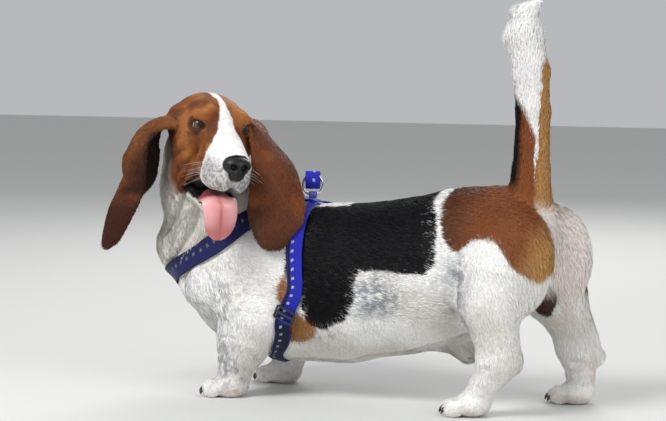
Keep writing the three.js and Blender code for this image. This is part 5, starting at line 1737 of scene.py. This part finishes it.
ring_way = np.array([math.cos(ring_turn), math.sin(ring_turn), 0])
ring_turns = around(96)[:, None]
ring_line = ring_at + RING_RADIUS * (ring_way * np.cos(ring_turns) + UP * np.sin(ring_turns))
ring_line_radii = RING_WIRE + 0.25 * np.exp(-(((ring_turns[:, 0] - 4.2) / 0.08) ** 2))
steel = tinted("polished_steel", (0.62, 0.63, 0.65), 0.2, 300, 0.08, 0.05, metallic=1.0)
ring_mesh = make_mesh("welded_ring", *tube(ring_line, ring_line_radii, 20, closed=True))
add_piece("welded_ring", ring_mesh, steel, ["withers_ring"])
tab_material = webbing_material("tab_webbing", (0.14, 0.15, 0.50), NAVY, None, 0)
add_band("tab_webbing", standing_loop(tab_at, TAB_RADIUS, TAB_RADIUS, TAB_WIDTH, 48), tab_material,
         "withers_tab")
loop_material = webbing_material("loop_webbing", BLUE, NAVY)
add_band("loop_webbing", standing_loop(loop_at, 8, 13, LOOP_WIDTH, 64), loop_material,
         "withers_loop")
PLATE_LONG, PLATE_WIDE = 56, 26
patch_outline = rounded_outline(PLATE_LONG, PLATE_WIDE, 5, 8)
patch_places, patch_quads = block(patch_outline, (0, 0.5, 1.9, PATCH_THICKNESS), (0.6, 0, 0, 0.6))
patch_set = set_on(patch_places + [0, 0, ON_STRAP], plate_at, plate_out, [1.0, 0, 0])
patch_mesh = make_mesh("sewn_patch", patch_set, patch_quads)
number(patch_mesh, "across", patch_places[:, 1] / (PLATE_WIDE / 2))
number(patch_mesh, "along", patch_places[:, 0] + PLATE_LONG / 2)
patch_material = webbing_material("patch_webbing", BLUE, NAVY)
add_piece("sewn_patch", patch_mesh, patch_material, ["withers_plate"])
print("ring, tab, loop and patch", clock())

# %% [markdown]
# A basset's coat is short, dense and close, and a little longer on the tail, the back of the thighs, the
# belly and the edges of the ears. Particle hair would be the quick way, but only real meshes can be kept.
# So each tuft is a blade of three triangles, rooted on the skin, lying along the body and just clear of
# it. First comes the way the hair lies at each root.

# %% Where the tufts stand
TUFTS = 290000
BARE_NEAR = {"nose": 3, "eyes": 3.5, "mouth": 4.5, "floor": 4}
MOUTH_CORNER = 24
luck = np.random.default_rng(41)
skin_points = np.empty(len(skin.data.vertices) * 3)
skin.data.vertices.foreach_get("co", skin_points)
skin_points = from_scene(skin_points.reshape(-1, 3))
skin_faces = np.empty(len(skin.data.polygons) * 3, np.int32)
skin.data.polygons.foreach_get("vertices", skin_faces)
skin_faces = skin_faces.reshape(-1, 3)
skin_normals = corner_normals(skin_points, skin_faces)
corners = skin_points[skin_faces]
areas = np.linalg.norm(np.cross(corners[:, 1] - corners[:, 0], corners[:, 2] - corners[:, 0]), axis=1) / 2
middles = corners.mean(1)
on_face = between(np.linalg.norm(middles - FACE_CENTRE, axis=1), 150, 110)
ear_here = between(sample(ear_grid, middles), 6, 3)
density = 1 + 1.6 * on_face + 0.9 * ear_here + 0.8 * between(middles[:, 2], 352, 366)
hidden = field_at(nose_room, middles) < BARE_NEAR["nose"]
for opening in eye_openings:
    hidden |= opening["distance"](*middles.T) < BARE_NEAR["eyes"]
in_mouth = mouth_lens["distance"](*middles.T) < BARE_NEAR["mouth"]
hidden |= in_mouth & (head_place(middles)[:, 0] > MOUTH_CORNER)
hidden |= middles[:, 2] < BARE_NEAR["floor"]
for path, strap_width in ((girth_path, GIRTH_WIDTH), (neck_path, NECK_WIDTH)):
    hidden |= away_from_line(middles, np.concatenate([path, path[:1]])) < strap_width / 2 - 2
chance = areas * density * ~hidden
picked = luck.choice(len(areas), TUFTS, p=chance / chance.sum())
share = luck.dirichlet((1, 1, 1), TUFTS)
roots = (corners[picked] * share[..., None]).sum(1)
root_normals = unit((skin_normals[skin_faces[picked]] * share[..., None]).sum(1))
print("skin area", round(areas.sum() / 1e6, 3), "m2,", TUFTS, "tufts", clock())

# %% [markdown]
# The coat is kept in nine pieces, so that none grows too large: head, ears, neck, two sides of the trunk,
# tail and two pairs of legs. Every root belongs to one of them.

# %% Regions of the coat
LEG_BELOW, LEG_OUTSIDE = 150, 40
NECK_BEFORE_X = -120
ear_near = sample(ear_grid, roots) < 4.5
x, y, z = roots.T
of_tail = tail_share(roots)
is_tail = of_tail > 0.5
is_ear_left = ear_near & (x > EAR_LEFT_FROM)
is_ear_right = ear_near & (x <= EAR_RIGHT_TO)
is_ear = is_ear_left | is_ear_right
is_head = (field_at(head_shapes, roots) < field_at(trunk_and_neck, roots)) & (x < HEAD_BEFORE_X) & ~is_ear
is_leg = (z < LEG_BELOW) & (np.abs(y) > LEG_OUTSIDE) & ~is_head
rest = ~(is_tail | is_ear | is_head | is_leg)
is_neck = rest & (x < NECK_BEFORE_X)
regions = {
    "coat_head": is_head, "coat_ear_left": is_ear_left, "coat_ear_right": is_ear_right, "coat_neck": is_neck,
    "coat_trunk_left": rest & ~is_neck & (y < 0), "coat_trunk_right": rest & ~is_neck & (y >= 0),
    "coat_tail": is_tail, "coat_legs_left": is_leg & (y < 0), "coat_legs_right": is_leg & (y >= 0),
}
print({name: int(mask.sum()) for name, mask in regions.items()})

# %% The lie of the hair, and its length
def towards(way, target, amount):
    return way + (np.asarray(target) - way) * np.asarray(amount)[:, None]


head_f, _, head_u = head_place(roots).T
head_down = -0.8 * HEAD_AXES[0] - 0.8 * HEAD_AXES[2]
head_lie = towards(np.tile(-HEAD_AXES[0], (TUFTS, 1)), head_down, between(head_u, 10, -60))
way = np.tile(np.array([1.0, 0, -0.22]), (TUFTS, 1))
for target, amount in (
    ((0.45, 0, -1), between(x, 250, 320) * between(z, 330, 280)),
    ((0.55, 0, -0.9), between(x, -90, -150)),
    ((0.12, 0.05, -1), between(z, 235, 290) * between(x, -110, -160)),
    ((0.12, 0, -1), between(z, 165, 125) * np.clip(is_leg + 0.4, 0, 1)),
    ((-0.5, 0, -0.7), between(z, 34, 22)),
    ((0.08, 0, 1), of_tail),
    ((0.5, 0, 1), of_tail * between(z, 600, 640)),
    (head_lie, is_head),
    ((-0.28, 0, -1), is_ear_right & (z > 350)),
    ((-0.75, 0, -0.8), is_ear_right & (z <= 350)),
    ((0.06, -0.1, -1), is_ear_left),
):
    way = towards(way, target, amount)
way = way - root_normals * (way * root_normals).sum(1, keepdims=True)
way = unit(unit(way) + 0.17 * luck.normal(size=(TUFTS, 3)))
way = unit(way - root_normals * (way * root_normals).sum(1, keepdims=True))
length = np.full(TUFTS, 9.0)
length += 4.5 * between(root_normals[:, 2], -0.2, -0.8) * rest
length += 4.0 * between(x, 330, 390) * between(z, 90, 150)
length = np.where(is_neck, 9.5, length)
length = np.where(is_leg, 6.5 + 3 * between(x, 330, 400), length)
length = np.where(z < 40, 4.0, length)
length = np.where(is_head, 4.6 - 1.8 * between(head_f, 50, 100), length)
length = np.where(is_ear, 6.5, length)
length = np.where(is_tail, 8.5 + 3 * between(z, 360, 420) + 7 * between(z, 520, 640), length)
length *= luck.uniform(0.75, 1.3, TUFTS)
box_top = from_scene(np.array(solid_box[1]))[2] - 0.3
room_above = (box_top - z) / np.maximum(way[:, 2], 0.1)
length = np.where(is_tail, np.clip(np.minimum(length, room_above), 2.5, None), length)
width = np.select([is_head, is_ear, is_tail], [0.85, 1.05, 1.3], 1.35)
stand = np.where(is_neck, 0.17, 0.13) * luck.uniform(0.5, 1.4, TUFTS)
print("lengths from", round(length.min(), 1), "to", round(length.max(), 1), "mm")

# %% [markdown]
# Each tuft needs its own small patch on the map that colours are baked to. The map unfolds the piece like
# a box with six sides: a root goes to the side that its normal faces, at its own place there. That follows
# the shape of the body, so neighbours on the hound are neighbours on the map.

# %% The six-sided unwrap
PATCH = 0.003


def six_sided(places, normals):
    low, high = places.min(0), places.max(0)
    size = high - low
    axis = np.abs(normals).argmax(1)
    positive = np.take_along_axis(normals, axis[:, None], 1)[:, 0] > 0
    wide = np.array([size[1], size[0], size[0]])
    tall = np.array([size[2], size[2], size[1]])
    shelf = np.concatenate([[0], np.cumsum(tall)[:-1]])
    scale = 0.98 / max(2 * wide.max(), tall.sum())
    across = np.where(axis == 0, places[:, 1] - low[1], places[:, 0] - low[0])
    up = np.where(axis == 2, places[:, 1] - low[1], places[:, 2] - low[2])
    u = (across + positive * wide[axis]) * scale
    v = (up + shelf[axis]) * scale
    return np.stack([u, v], 1) + 0.01


# %% The tufts
TUFT_TRIANGLES = np.array([[0, 1, 3], [0, 3, 2], [2, 3, 4]])
PATCH_CORNERS = np.array([(-0.5, -0.5), (0.5, -0.5), (-0.35, 0.1), (0.35, 0.1), (0, 0.5)]) * PATCH
aside = unit(np.cross(root_normals, way) + 0.35 * root_normals * luck.uniform(-1, 1, (TUFTS, 1)))
foot = roots - root_normals * 0.35
belly_of = roots + way * (0.5 * length)[:, None] + root_normals * (stand * length * 0.75 + 0.25)[:, None]
tip = roots + way * length[:, None] + root_normals * (stand * length)[:, None]
half = (aside * width[:, None]) / 2
tufts = np.stack([foot - half, foot + half, belly_of - half * 0.85, belly_of + half * 0.85, tip], 1)
low, high = (from_scene(np.array(corner)) for corner in solid_box)
tufts = np.clip(tufts, low + 0.2, high - 0.2)
root_colours = coat_colour(roots, root_normals)
shade = luck.uniform(0.90, 1.10, (TUFTS, 1))
tuft_colours = root_colours * shade
# Tips are lighter than roots: on brown hair its own paler tips, and on the black coat a painted sheen.
tip_colours = np.clip(root_colours * shade * 1.12 + 0.004, 0, 0.92)


def lay_coat(name, chosen):
    count = int(chosen.sum())
    faces = (np.arange(count)[:, None, None] * 5 + TUFT_TRIANGLES).reshape(-1, 3)
    mesh = make_mesh(name, tufts[chosen].reshape(-1, 3), faces)
    colours = np.repeat(tuft_colours[chosen][:, None], 5, 1)
    colours[:, 4] = tip_colours[chosen]
    paint(mesh, "coat_colour", colours.reshape(-1, 3))
    corners_of = six_sided(roots[chosen], root_normals[chosen])[:, None] + PATCH_CORNERS
    unwrap = mesh.uv_layers.new(name="OFBake")
    unwrap.data.foreach_set("uv", corners_of[:, TUFT_TRIANGLES.ravel()].ravel())
    add_piece(name, mesh, tuft_material)
    print(name, len(faces), "triangles")


for name, chosen in regions.items():
    lay_coat(name, chosen)
print("coat laid", clock())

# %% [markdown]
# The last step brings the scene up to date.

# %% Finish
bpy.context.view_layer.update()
print("made", clock())
